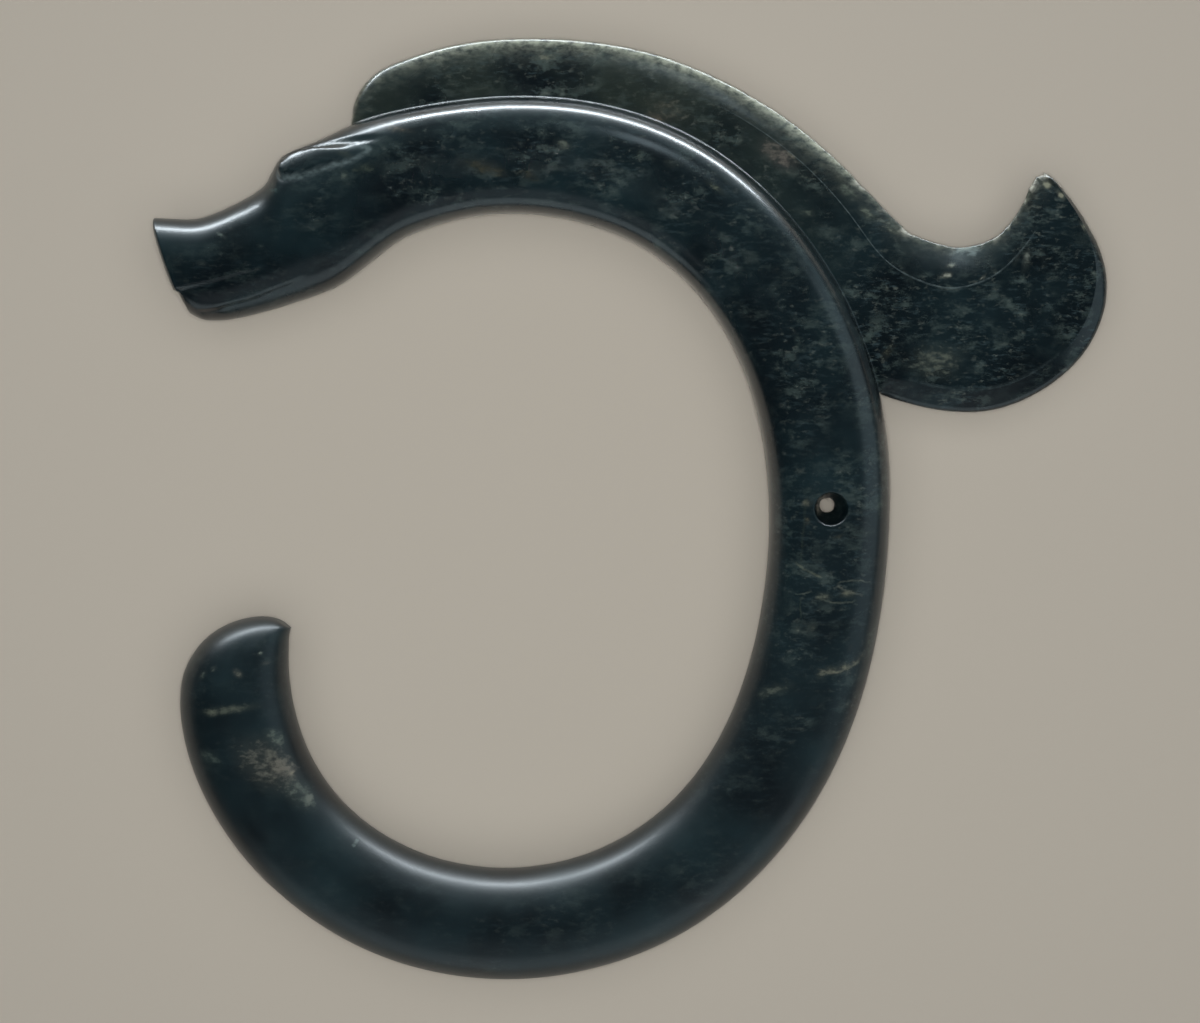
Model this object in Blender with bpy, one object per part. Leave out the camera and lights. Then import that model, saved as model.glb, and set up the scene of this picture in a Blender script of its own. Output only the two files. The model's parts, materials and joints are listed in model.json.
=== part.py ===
"""A dragon curled like the letter C, carved from one piece of dark green jade and lying on its side.

Seen from above, X runs across the C and Y towards the crest of the mane. Z is up. The origin is on
the table, under the middle of the carving.
"""

import math

import bmesh
import bpy
import numpy as np

# Overall sizes, in metres
HEIGHT = 0.260
BODY_WIDTH = 0.032
BODY_DEPTH = 0.025
SQUARENESS = 2.35
REST_FLAT_WIDTH = 0.0075

# The mane, a thin plate ground to an edge all round
MANE_THICKNESS = 0.0056
MANE_EDGE_THICKNESS = 0.0008
MANE_BITE = 0.005
CREST_BEVEL = 0.0070
VALLEY_BEVEL = 0.0115
VALLEY_PLACE = 1.05
VALLEY_REACH = 0.16
KEEL_BEVEL = 0.0060
KEEL_FREE_FROM = 0.94
KEEL_FREE_OVER = 0.08

# The hanging hole, drilled from both sides until the two cones met
HOLE_MOUTH_RADIUS = 0.0045
HOLE_WAIST_RADIUS = 0.0020
HOLE_ANGLE = 82.7
HOLE_LEVEL = -0.04

# The face
SNOUT_DOME = 0.0022
EYE_RADIUS = 0.0050
EYE_RISE = 0.0013
EYE_FULLEST = 0.3
EYE_TIP = 0.15
BROW_GROOVE_RADIUS = 0.0008
MOUTH_GROOVE_RADIUS = 0.0010
GROOVE_TIP = 0.25
NOSTRIL_RADIUS = 0.0016
NOSTRIL_DEPTH = 0.0016
NOSTRIL_SPACING = 0.0080
NOSTRIL_LEVEL = 0.32

# How finely the faceted solid is cut
SIDES = 32
HEAD_RING_STEP = 0.0025
BODY_RING_STEP = 0.0100
TAIL_RING_STEP = 0.0022
SNOUT_DOME_SHARES = (0.55, 0.85)
MANE_RIBS = 56
BEAD_SIDES = 10
BEAD_RINGS = 16
MOUTH_END_RINGS = 8
NOSTRIL_RINGS = 4
HOLE_SIDES = 24

# One millimetre of a carving 260 mm tall. The outlines below are drawn in these, with a body
# 32 mm wide.
MM = HEIGHT / 260.0
FATNESS = BODY_WIDTH / (32.0 * MM)

# Ribs of the head from the snout's end to the nape: back x, back y, belly x, belly y, and the
# share of the full depth
HEAD_RIBS = (
    (-130.3, 81.7, -121.4, 56.2, 0.74),
    (-124.4, 81.4, -117.7, 54.2, 0.78),
    (-118.5, 81.5, -112.8, 53.8, 0.81),
    (-110.0, 84.6, -106.3, 54.8, 0.85),
    (-103.5, 88.0, -98.9, 56.7, 0.90),
    (-99.3, 91.8, -93.4, 58.4, 0.94),
    (-96.6, 96.9, -88.2, 60.1, 0.97),
    (-91.1, 100.5, -81.4, 62.8, 0.99),
    (-83.2, 103.7, -75.1, 66.9, 1.00),
    (-76.2, 106.9, -69.6, 71.2, 1.00),
    (-69.1, 109.3, -62.8, 76.0, 1.00),
    (-61.5, 111.0, -54.6, 79.4, 1.00),
)

# The C: its middle line's distance from the centre, and its width as a share of BODY_WIDTH, every
# 22.5 degrees clockwise from straight up
C_CENTRE = (-28.0, -8.0)
C_STEP = 22.5
C_RADII = (106.6, 103.4, 95.3, 87.1, 82.4, 84.2, 91.7, 100.5, 106.1, 106.9, 101.5)
C_WIDTHS = (0.99, 1.02, 1.03, 1.06, 1.03, 1.02, 1.00, 0.98, 0.97, 0.96, 0.97)

# Ribs of the tail, which fan round the corner on its inner side
TAIL_RIBS = (
    (-124.6, -57.7, -94.5, -48.8, 1.00),
    (-124.9, -48.9, -95.1, -42.3, 0.99),
    (-123.5, -42.3, -95.1, -38.5, 0.95),
    (-120.1, -36.4, -95.0, -35.7, 0.87),
    (-115.5, -32.1, -94.9, -33.7, 0.76),
    (-109.4, -29.1, -94.7, -32.5, 0.62),
    (-102.8, -27.9, -94.5, -31.6, 0.45),
    (-97.8, -28.7, -94.4, -31.2, 0.28),
    (-95.4, -30.3, -94.3, -31.0, 0.14),
)

# The mane where it grows from the back: how far along the attachment, and the crest above it
ROOTED_MANE = (
    (0.000, -76.3, 108.3),
    (0.010, -75.8, 111.8),
    (0.024, -73.9, 116.1),
    (0.044, -69.5, 120.7),
    (0.073, -63.0, 123.8),
    (0.121, -53.3, 127.0),
    (0.248, -27.8, 130.0),
    (0.376, 2.1, 126.9),
    (0.498, 28.8, 116.5),
    (0.613, 51.8, 100.9),
    (0.741, 71.0, 82.0),
    (0.841, 78.2, 76.5),
    (0.935, 85.4, 74.2),
)

# The free end of the mane: keel x, keel y, crest x, crest y, up to the chipped tip
FREE_MANE = (
    (76.4, 31.2, 91.4, 73.6),
    (86.2, 29.2, 97.1, 75.0),
    (97.2, 29.0, 102.0, 78.2),
    (108.2, 32.2, 105.5, 82.5),
    (118.3, 38.5, 107.7, 86.4),
    (126.5, 48.0, 109.0, 89.8),
    (130.3, 59.2, 109.9, 91.7),
    (130.0, 68.2, 110.7, 92.6),
    (126.6, 77.2, 111.5, 93.2),
    (121.0, 86.0, 112.3, 93.5),
    (116.6, 91.4, 113.2, 93.6),
)

# Where the mane starts and ends on the back, as rib numbers of the whole body
MANE_FIRST_RIB = 9
MANE_LAST_RIB = 15

# Eye, brow groove and mouth as lines on the head: place along it in millimetres from the snout's
# end, and level from -1 at the belly to 1 at the back
EYE_LINE = ((36.5, 0.82), (41.0, 0.79), (46.0, 0.76), (51.0, 0.71), (56.0, 0.63), (63.0, 0.53))
BROW_LINE = ((39.0, 0.97), (44.5, 0.95), (50.0, 0.90), (55.0, 0.83), (60.0, 0.71), (66.0, 0.58))
MOUTH_LINE = ((0.0, -0.55), (5.0, -0.37), (9.0, -0.29), (16.0, -0.26), (24.0, -0.30), (29.0, -0.35))


def clear_scene():
    """Removes whatever the file holds."""
    for thing in list(bpy.data.objects):
        bpy.data.objects.remove(thing)


def smooth_through(knots, values):
    """Returns a function that passes smoothly through the values at the knots: a cubic spline."""
    knots = np.asarray(knots, float)
    values = np.asarray(values, float)
    gaps = np.diff(knots)[:, None]
    slopes = np.diff(values, axis=0) / gaps
    inner = np.arange(1, len(knots) - 1)
    system = np.eye(len(knots))
    system[inner, inner - 1] = gaps[:-1, 0]
    system[inner, inner] = 2 * (gaps[:-1, 0] + gaps[1:, 0])
    system[inner, inner + 1] = gaps[1:, 0]
    straight = np.zeros_like(slopes[:1])
    bends = np.linalg.solve(system, np.vstack([straight, 6 * np.diff(slopes, axis=0), straight]))

    def at(where):
        where = np.atleast_1d(where).astype(float)
        i = np.clip(np.searchsorted(knots, where) - 1, 0, len(gaps) - 1)
        gap = gaps[i]
        left = (where - knots[i])[:, None]
        right = (knots[i + 1] - where)[:, None]
        curved = (bends[i] * right**3 + bends[i + 1] * left**3) / (6 * gap)
        return (
            curved
            + (values[i] / gap - bends[i] * gap / 6) * right
            + (values[i + 1] / gap - bends[i + 1] * gap / 6) * left
        )

    return at


def distances_along(points):
    """The running length of a line of points."""
    return np.r_[0.0, np.cumsum(np.linalg.norm(np.diff(points, axis=0), axis=1))]


def circle_angles(count):
    """Evenly spaced angles round a full turn, in radians."""
    return np.arange(count) * 2 * math.pi / count


class Body:
    """The body from the snout's end to the tip of the tail, as oval sections across a row of ribs."""

    def __init__(self):
        head = self.drawn_ribs(HEAD_RIBS)
        tail = self.drawn_ribs(TAIL_RIBS)
        angles = np.radians(90.0 - C_STEP * np.arange(len(C_RADII)))
        spokes = np.stack([np.cos(angles), np.sin(angles)], axis=1)
        hoop = (np.array(C_CENTRE) + np.array(C_RADII)[:, None] * spokes) * MM
        centres = np.vstack([self.middles(head), hoop, self.middles(tail)])
        self.knots = distances_along(centres)
        line = smooth_through(self.knots, centres)
        places = self.knots[len(head) : len(head) + len(hoop)]
        step = 0.5 * MM
        along = line(places + step) - line(places - step)
        outward = np.stack([-along[:, 1], along[:, 0]], axis=1)
        outward /= np.linalg.norm(outward, axis=1)[:, None]
        half = BODY_WIDTH / 2 * np.array(C_WIDTHS)[:, None]
        ribs = np.hstack([hoop + outward * half, hoop - outward * half, np.ones_like(half)])
        self.rib_at = smooth_through(self.knots, np.vstack([head, ribs, tail]))
        self.first_hoop_knot = len(head)
        self.head_end = self.knots[len(head) - 1]
        self.tail_start = self.knots[-len(tail)]
        self.length = self.knots[-1]

    @staticmethod
    def middles(ribs):
        """The points halfway between the back and the belly."""
        return (ribs[:, 0:2] + ribs[:, 2:4]) / 2

    @classmethod
    def drawn_ribs(cls, table):
        """The ribs of a table at the carving's size, as long as the body's width makes them."""
        ribs = np.array(table)
        middle = cls.middles(ribs)
        half = (ribs[:, 0:2] - ribs[:, 2:4]) / 2 * FATNESS
        return np.hstack([(middle + half) * MM, (middle - half) * MM, ribs[:, 4:5]])

    def place_of_angle(self, degrees):
        """How far along the body it passes this many degrees clockwise from straight up."""
        numbers = self.first_hoop_knot + degrees / C_STEP
        return float(np.interp(numbers, np.arange(len(self.knots)), self.knots))

    def half_depth(self, share):
        """Half the section's depth where it has this share of the full one."""
        return BODY_DEPTH / 2 * np.clip(share, 0.05, 1.0)

    def middle_height(self):
        """The height of the middle plane above the table, once the underside is ground flat."""
        share = (REST_FLAT_WIDTH / BODY_WIDTH) ** SQUARENESS
        return BODY_DEPTH / 2 * (1 - share) ** (1 / SQUARENESS)

    def surface(self, place, level, side):
        """Points on the skin: place along the body, level from belly -1 to back 1, side 1 is up."""
        rib = self.rib_at(place)
        level = np.atleast_1d(level)[:, None]
        flat = self.middles(rib) + level * (rib[:, 0:2] - rib[:, 2:4]) / 2
        rise = (1 - np.abs(level) ** SQUARENESS) ** (1 / SQUARENESS)
        height = self.middle_height() + side * self.half_depth(rib[:, 4:5]) * rise
        return np.hstack([flat, height])

    def rings(self):
        """All the sections as one array: ring, side, then x, y, z."""
        zones = (
            (0.0, self.head_end, HEAD_RING_STEP),
            (self.head_end, self.tail_start, BODY_RING_STEP),
            (self.tail_start, self.length, TAIL_RING_STEP),
        )
        places = [np.linspace(a, b, math.ceil((b - a) / step) + 1)[:-1] for a, b, step in zones]
        rib = self.rib_at(np.r_[np.concatenate(places), self.length])
        angles = circle_angles(SIDES)
        across = np.sign(np.cos(angles)) * np.abs(np.cos(angles)) ** (2 / SQUARENESS)
        upward = np.sign(np.sin(angles)) * np.abs(np.sin(angles)) ** (2 / SQUARENESS)
        lowest = 3 * SIDES // 4
        edges = [lowest - 1, lowest + 1]
        across[edges] = np.array([-1.0, 1.0]) * REST_FLAT_WIDTH / BODY_WIDTH
        upward[edges] = -self.middle_height() / (BODY_DEPTH / 2)
        half = (rib[:, 0:2] - rib[:, 2:4]) / 2
        flat = self.middles(rib)[:, None] + across[None, :, None] * half[:, None]
        height = self.middle_height() + upward * self.half_depth(rib[:, 4:5])
        skin = np.dstack([flat, np.maximum(height, 0.0)])
        centre, outward = self.snout_end()
        dome = [
            centre + share * (skin[0] - centre) + SNOUT_DOME * (1 - share**2) * outward
            for share in SNOUT_DOME_SHARES
        ]
        return np.concatenate([dome, skin])

    def snout_end(self):
        """The middle of the snout's blunt end, and the direction it faces."""
        rib = self.rib_at([0.0, HEAD_RING_STEP])
        middle = self.middles(rib)
        across = rib[0, 0:2] - rib[0, 2:4]
        outward = np.array([across[1], -across[0]]) / np.linalg.norm(across)
        outward *= np.sign(outward @ (middle[0] - middle[1]))
        return np.r_[middle[0], self.middle_height()], np.r_[outward, 0.0]

    def snout_face(self, level, height):
        """A point on the snout's domed end: level from the belly to the back, height from the middle."""
        rib = self.rib_at(0.0)[0]
        middle, outward = self.snout_end()
        share = np.linalg.norm([level, height / self.half_depth(rib[4])], SQUARENESS)
        rise = SNOUT_DOME * (1 - max(share, SNOUT_DOME_SHARES[0]) ** 2)
        return middle + np.r_[level * (rib[0:2] - rib[2:4]) / 2, height] + outward * rise


def mesh_of_rings(name, rings):
    """A closed mesh of triangles over rings of equal length, with a flat cap on each end."""
    count, sides = rings.shape[:2]
    shape = bmesh.new()
    rows = [[shape.verts.new(point) for point in ring] for ring in rings]
    for i in range(count - 1):
        for j in range(sides):
            k = (j + 1) % sides
            shape.faces.new((rows[i][j], rows[i][k], rows[i + 1][k], rows[i + 1][j]))
    shape.faces.new(rows[0])
    shape.faces.new(rows[-1])
    bmesh.ops.recalc_face_normals(shape, faces=shape.faces)
    bmesh.ops.triangulate(shape, faces=shape.faces)
    mesh = bpy.data.meshes.new(name)
    shape.to_mesh(mesh)
    shape.free()
    return new_object(name, mesh)


def new_object(name, mesh):
    """Puts a mesh into the scene as an object."""
    thing = bpy.data.objects.new(name, mesh)
    bpy.context.scene.collection.objects.link(thing)
    return thing


def mane_ribs(body):
    """The mane's ribs, smoothly spaced from the nape to the tip: keel x, keel y, crest x, crest y."""
    first = body.knots[MANE_FIRST_RIB]
    last = body.knots[MANE_LAST_RIB]
    rooted = np.array(ROOTED_MANE)
    rib = body.rib_at(first + (last - first) * rooted[:, 0])
    inward = rib[:, 2:4] - rib[:, 0:2]
    inward /= np.linalg.norm(inward, axis=1)[:, None]
    keel = rib[:, 0:2] + MANE_BITE * inward
    ribs = np.vstack([np.hstack([keel, rooted[:, 1:] * MM]), np.array(FREE_MANE) * MM])
    knots = (distances_along(ribs[:, 0:2]) + distances_along(ribs[:, 2:4])) / 2
    places = np.linspace(0.0, knots[-1], MANE_RIBS)
    leaves_back = knots[len(rooted) - 1]
    return smooth_through(knots, ribs)(places), places, leaves_back


def add_mane(body):
    """A plate across the mane's ribs, bevelled towards the crest and, where it is free, the keel."""
    ribs, places, leaves_back = mane_ribs(body)
    keel = ribs[:, 0:2]
    crest = ribs[:, 2:4]
    length = np.linalg.norm(crest - keel, axis=1)
    total = places[-1]
    valley = np.exp(-(((places - VALLEY_PLACE * leaves_back) / (VALLEY_REACH * total)) ** 2))
    crest_bevel = CREST_BEVEL + (VALLEY_BEVEL - CREST_BEVEL) * valley
    freed = np.clip((places - KEEL_FREE_FROM * leaves_back) / (KEEL_FREE_OVER * total), 0.0, 1.0)
    keel_bevel = KEEL_BEVEL * np.maximum(freed, 0.05)
    crest_share = 1 - np.minimum(crest_bevel / length, 0.48)
    keel_share = np.minimum(keel_bevel / length, 0.48)
    plate = MANE_THICKNESS / 2 * np.clip(length / CREST_BEVEL, 0.0, 1.0) ** 0.5
    edge = np.full_like(plate, MANE_EDGE_THICKNESS / 2)
    plate = np.maximum(plate, edge)
    keel_edge = plate + (edge - plate) * freed
    profile = (
        (np.zeros_like(length), keel_edge),
        (keel_share, plate),
        ((keel_share + crest_share) / 2, plate),
        (crest_share, plate),
        (np.ones_like(length), edge),
    )
    middle = body.middle_height()
    upper = [mane_line(keel, crest, share, middle + half) for share, half in profile]
    lower = [mane_line(keel, crest, share, middle - half) for share, half in reversed(profile)]
    return mesh_of_rings("mane_blank", np.stack(upper + lower, axis=1))


def mane_line(keel, crest, share, height):
    """A line along the mane, at a share of the way from the keel to the crest."""
    flat = keel + share[:, None] * (crest - keel)
    return np.column_stack([flat, height])


def add_bead(name, points, radii):
    """A tapering round bar along a line of points, used to raise or to cut a line on the skin."""
    tangent = np.gradient(points, axis=0)
    tangent /= np.linalg.norm(tangent, axis=1)[:, None]
    sideways = np.cross(tangent, (0.0, 1.0, 0.0))
    sideways /= np.linalg.norm(sideways, axis=1)[:, None]
    upward = np.cross(sideways, tangent)
    angles = circle_angles(BEAD_SIDES)
    spokes = sideways[:, None] * np.cos(angles)[:, None] + upward[:, None] * np.sin(angles)[:, None]
    return mesh_of_rings(name, points[:, None] + radii[:, None, None] * spokes)


def head_line(line, count=BEAD_RINGS):
    """Places and levels at even steps along one of the lines on the head."""
    line = np.array(line)
    places = np.linspace(line[0, 0], line[-1, 0], count)
    levels = smooth_through(line[:, 0], line[:, 1:2])(places)[:, 0]
    return places * MM, levels


def add_eye(body, side):
    """A long drop half sunk in the head, blunt in front and drawn out to a point behind."""
    places, levels = head_line(EYE_LINE)
    share = np.linspace(0.0, 1.0, BEAD_RINGS)
    front = np.sqrt(np.clip(1 - ((EYE_FULLEST - share) / EYE_FULLEST) ** 2, 0.0, 1.0))
    rear = 1 - (np.maximum(share - EYE_FULLEST, 0.0) / (1 - EYE_FULLEST)) ** 1.5
    radii = EYE_RADIUS * np.clip(np.where(share < EYE_FULLEST, front, rear), EYE_TIP, 1.0)
    points = body.surface(places, levels, side)
    centre = body.surface(places, levels * 0, side)
    centre[:, 2] = body.middle_height()
    inward = centre - points
    inward /= np.linalg.norm(inward, axis=1)[:, None]
    sunk = radii * (1 - EYE_RISE / EYE_RADIUS)
    return add_bead("eye_blank", points + inward * sunk[:, None], radii)


def add_groove(body, name, line, side, radius):
    """A groove cut along a line on the head, deepest in front and fading out behind."""
    places, levels = head_line(line)
    fade = np.linspace(1.0, GROOVE_TIP, BEAD_RINGS)
    return add_bead(name, body.surface(places, levels, side), radius * fade)


def add_mouth(body):
    """The closed mouth: one groove along both cheeks and across the end of the snout."""
    places, levels = head_line(MOUTH_LINE)
    fade = np.linspace(1.0, GROOVE_TIP, BEAD_RINGS)
    upper = body.surface(places, levels, 1)
    lower = body.surface(places, levels, -1)
    heights = np.linspace(upper[0, 2], lower[0, 2], MOUTH_END_RINGS)[1:-1] - body.middle_height()
    across = np.array([body.snout_face(levels[0], height) for height in heights])
    points = np.vstack([upper[::-1], across, lower])
    radii = MOUTH_GROOVE_RADIUS * np.r_[fade[::-1], np.ones(len(across)), fade]
    return add_bead("mouth_cutter", points, radii)


def add_nostril(body, side):
    """A shallow round pit in the blunt end of the snout."""
    outward = body.snout_end()[1]
    centre = body.snout_face(NOSTRIL_LEVEL, side * NOSTRIL_SPACING / 2)
    steps = np.linspace(0.0, 1.0, NOSTRIL_RINGS)
    depths = NOSTRIL_DEPTH * np.cos(steps * math.pi / 2)
    radii = NOSTRIL_RADIUS * np.sin((0.2 + 0.8 * steps) * math.pi / 2)
    floor_to_face = centre - depths[:, None] * outward
    mouth = floor_to_face[-1] + NOSTRIL_DEPTH * outward
    return add_bead("nostril_cutter", np.vstack([floor_to_face, mouth]), np.r_[radii, radii[-1]])


def add_hole_cutter(body):
    """Two cones point to point, through the body on its outer side."""
    centre = body.surface(body.place_of_angle(HOLE_ANGLE), HOLE_LEVEL, 1)[0]
    flare = (HOLE_MOUTH_RADIUS - HOLE_WAIST_RADIUS) / (BODY_DEPTH / 2)
    heights = np.array([-BODY_DEPTH, 0.0, BODY_DEPTH])
    radii = HOLE_WAIST_RADIUS + flare * np.abs(heights)
    angles = circle_angles(HOLE_SIDES)
    circle = np.stack([np.cos(angles), np.sin(angles), np.zeros_like(angles)], axis=1)
    rings = radii[:, None, None] * circle + np.array([centre[0], centre[1], body.middle_height()])
    rings[:, :, 2] += heights[:, None]
    return mesh_of_rings("hole_cutter", rings)


def jade():
    """Dark green polished jade."""
    material = bpy.data.materials.new("jade")
    material.use_nodes = True
    shader = material.node_tree.nodes["Principled BSDF"]
    shader.inputs["Base Color"].default_value = (0.012, 0.030, 0.028, 1.0)
    shader.inputs["Roughness"].default_value = 0.28
    shader.inputs["Metallic"].default_value = 0.0
    return material


def combine(target, name, tools, operation):
    """Unites all the blanks with the target at once, or cuts all the grooves and holes from it."""
    group = bpy.data.collections.new(name)
    bpy.context.scene.collection.children.link(group)
    for tool in tools:
        bpy.context.scene.collection.objects.unlink(tool)
        group.objects.link(tool)
        tool.hide_render = True
        tool.display_type = "WIRE"
        tool.parent = target
    modifier = target.modifiers.new(name, "BOOLEAN")
    modifier.operation = operation
    modifier.solver = "EXACT"
    modifier.operand_type = "COLLECTION"
    modifier.collection = group


def stand_on_table(thing):
    """Moves the finished carving so that the origin is under the middle of it."""
    bpy.context.view_layer.update()
    finished = thing.evaluated_get(bpy.context.evaluated_depsgraph_get())
    corners = np.array(finished.bound_box)
    middle = (corners.min(axis=0) + corners.max(axis=0)) / 2
    thing.location = (-middle[0], -middle[1], 0.0)


def main():
    clear_scene()
    body = Body()
    dragon = mesh_of_rings("jade_dragon", body.rings())
    blanks = [add_mane(body)]
    cutters = [add_mouth(body), add_hole_cutter(body)]
    for side in (1, -1):
        blanks.append(add_eye(body, side))
        cutters.append(add_groove(body, "brow_cutter", BROW_LINE, side, BROW_GROOVE_RADIUS))
        cutters.append(add_nostril(body, side))
    combine(dragon, "blanks", blanks, "UNION")
    combine(dragon, "cutters", cutters, "DIFFERENCE")
    dragon.data.materials.append(jade())
    stand_on_table(dragon)


main()
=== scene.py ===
"""Dresses the jade dragon carving as one polished piece of dark green nephrite.

The carving lies on its side. X runs from the snout towards the tip of the mane, Y towards the crest
of the mane and Z up. The tables that draw it are in millimetres of a carving 260 mm tall, measured
from a point inside the C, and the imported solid's box gives their scale and place.
"""

from __future__ import annotations

import json
import logging
import math
from dataclasses import asdict, dataclass, field
from enum import Enum

import bmesh
import bpy
import numpy as np
from mathutils import Matrix, Vector

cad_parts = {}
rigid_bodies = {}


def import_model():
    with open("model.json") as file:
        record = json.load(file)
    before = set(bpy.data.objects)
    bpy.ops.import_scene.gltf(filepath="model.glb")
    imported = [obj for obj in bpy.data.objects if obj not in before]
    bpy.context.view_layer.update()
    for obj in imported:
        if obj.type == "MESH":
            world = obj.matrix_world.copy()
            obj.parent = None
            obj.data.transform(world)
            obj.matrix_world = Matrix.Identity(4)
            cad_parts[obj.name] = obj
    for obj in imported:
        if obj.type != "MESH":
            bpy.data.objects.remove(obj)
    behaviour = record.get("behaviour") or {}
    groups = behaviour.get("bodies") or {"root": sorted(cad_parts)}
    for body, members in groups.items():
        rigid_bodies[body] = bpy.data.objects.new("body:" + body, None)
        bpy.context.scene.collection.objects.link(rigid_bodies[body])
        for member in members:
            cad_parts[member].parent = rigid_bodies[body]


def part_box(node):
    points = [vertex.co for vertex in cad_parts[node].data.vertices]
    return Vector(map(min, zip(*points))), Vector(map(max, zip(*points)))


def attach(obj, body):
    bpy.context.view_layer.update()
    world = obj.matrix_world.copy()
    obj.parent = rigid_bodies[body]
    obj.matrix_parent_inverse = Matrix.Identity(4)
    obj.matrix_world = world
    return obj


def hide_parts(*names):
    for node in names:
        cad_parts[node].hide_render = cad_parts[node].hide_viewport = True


Table = tuple[tuple[float, ...], ...]
Span = tuple[float, float]
Socket = bpy.types.NodeSocket
Tint = tuple[Socket, Socket | tuple[float, ...]]

log = logging.getLogger("jade_dragon")

NODE = "jade_dragon"
PIECE = "polished_dragon"
# The mesh colour that holds the stone's clouds and a few painted highlights and reflections.
CLOUD_AND_SHEEN_LAYER = "cloud"
DRAWN_SPAN_Y = 259.7


class Mark(Enum):
    """What the mesh tells its finish about each point, by the name of the mesh's attribute."""

    RIND = "rind"
    MANE = "mane"
    CHIP = "chip"
    LINE = "line"
    STILL = "still"


class Shows(Enum):
    """Where a lamp's light is seen."""

    IN_THE_POLISH = "mirrored by the polish alone"
    ON_SURFACES = "spread by surfaces alone"


def smoothstep(values: np.ndarray, start: float, end: float) -> np.ndarray:
    """Eases from 0 at the start to 1 at the end."""
    share = np.clip((np.asarray(values, float) - start) / (end - start), 0.0, 1.0)
    return share * share * (3.0 - 2.0 * share)


def running_length(points: np.ndarray) -> np.ndarray:
    """How far each point lies along the line of points."""
    return np.r_[0.0, np.cumsum(np.linalg.norm(np.diff(points, axis=0), axis=1))]


def unit_rows(vectors: np.ndarray) -> np.ndarray:
    """Gives every vector in the last axis the length 1."""
    length = np.linalg.norm(vectors, axis=-1, keepdims=True)
    return vectors / np.maximum(length, 1e-9)


def hump(distance: np.ndarray, width: float) -> np.ndarray:
    """A round hump: 1 at no distance, and next to nothing at twice the width."""
    return np.exp(-((distance / width) ** 2))


def signed_power(values: np.ndarray, power: np.ndarray | float) -> np.ndarray:
    """Raises the size of each number to a power and keeps its sign."""
    return np.sign(values) * np.abs(values) ** power


def rib_middles(ribs: np.ndarray) -> np.ndarray:
    """The flat point halfway between the two ends of each rib."""
    return (ribs[..., 0:2] + ribs[..., 2:4]) / 2


class SmoothLine:
    """A natural cubic spline through rows of numbers."""

    def __init__(self, knots: np.ndarray, values: np.ndarray) -> None:
        """Solves the spline's bends.

        Args:
            knots: Increasing parameter of each row.
            values: The rows to pass through.
        """
        self.knots = np.asarray(knots, float)
        self.values = np.asarray(values, float)
        gaps = np.diff(self.knots)[:, None]
        slopes = np.diff(self.values, axis=0) / gaps
        inner = np.arange(1, len(self.knots) - 1)
        system = np.eye(len(self.knots))
        system[inner, inner - 1] = gaps[:-1, 0]
        system[inner, inner] = 2.0 * (gaps[:-1, 0] + gaps[1:, 0])
        system[inner, inner + 1] = gaps[1:, 0]
        straight = np.zeros_like(slopes[:1])
        turn = np.vstack([straight, 6.0 * np.diff(slopes, axis=0), straight])
        self.gaps = gaps
        self.bends = np.linalg.solve(system, turn)

    def __call__(self, where: np.ndarray | float) -> np.ndarray:
        """Reads the spline.

        Args:
            where: Parameters, in any shape.

        Returns:
            One row of numbers in the last axis for each parameter.
        """
        where = np.asarray(where, float)
        flat = np.atleast_1d(where).ravel()
        i = np.clip(np.searchsorted(self.knots, flat) - 1, 0, len(self.gaps) - 1)
        gap = self.gaps[i]
        left = (flat - self.knots[i])[:, None]
        right = (self.knots[i + 1] - flat)[:, None]
        bend = (self.bends[i] * right**3 + self.bends[i + 1] * left**3) / (6.0 * gap)
        rise = (self.values[i] / gap - self.bends[i] * gap / 6.0) * right
        fall = (self.values[i + 1] / gap - self.bends[i + 1] * gap / 6.0) * left
        return (bend + rise + fall).reshape(*where.shape, -1)


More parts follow.
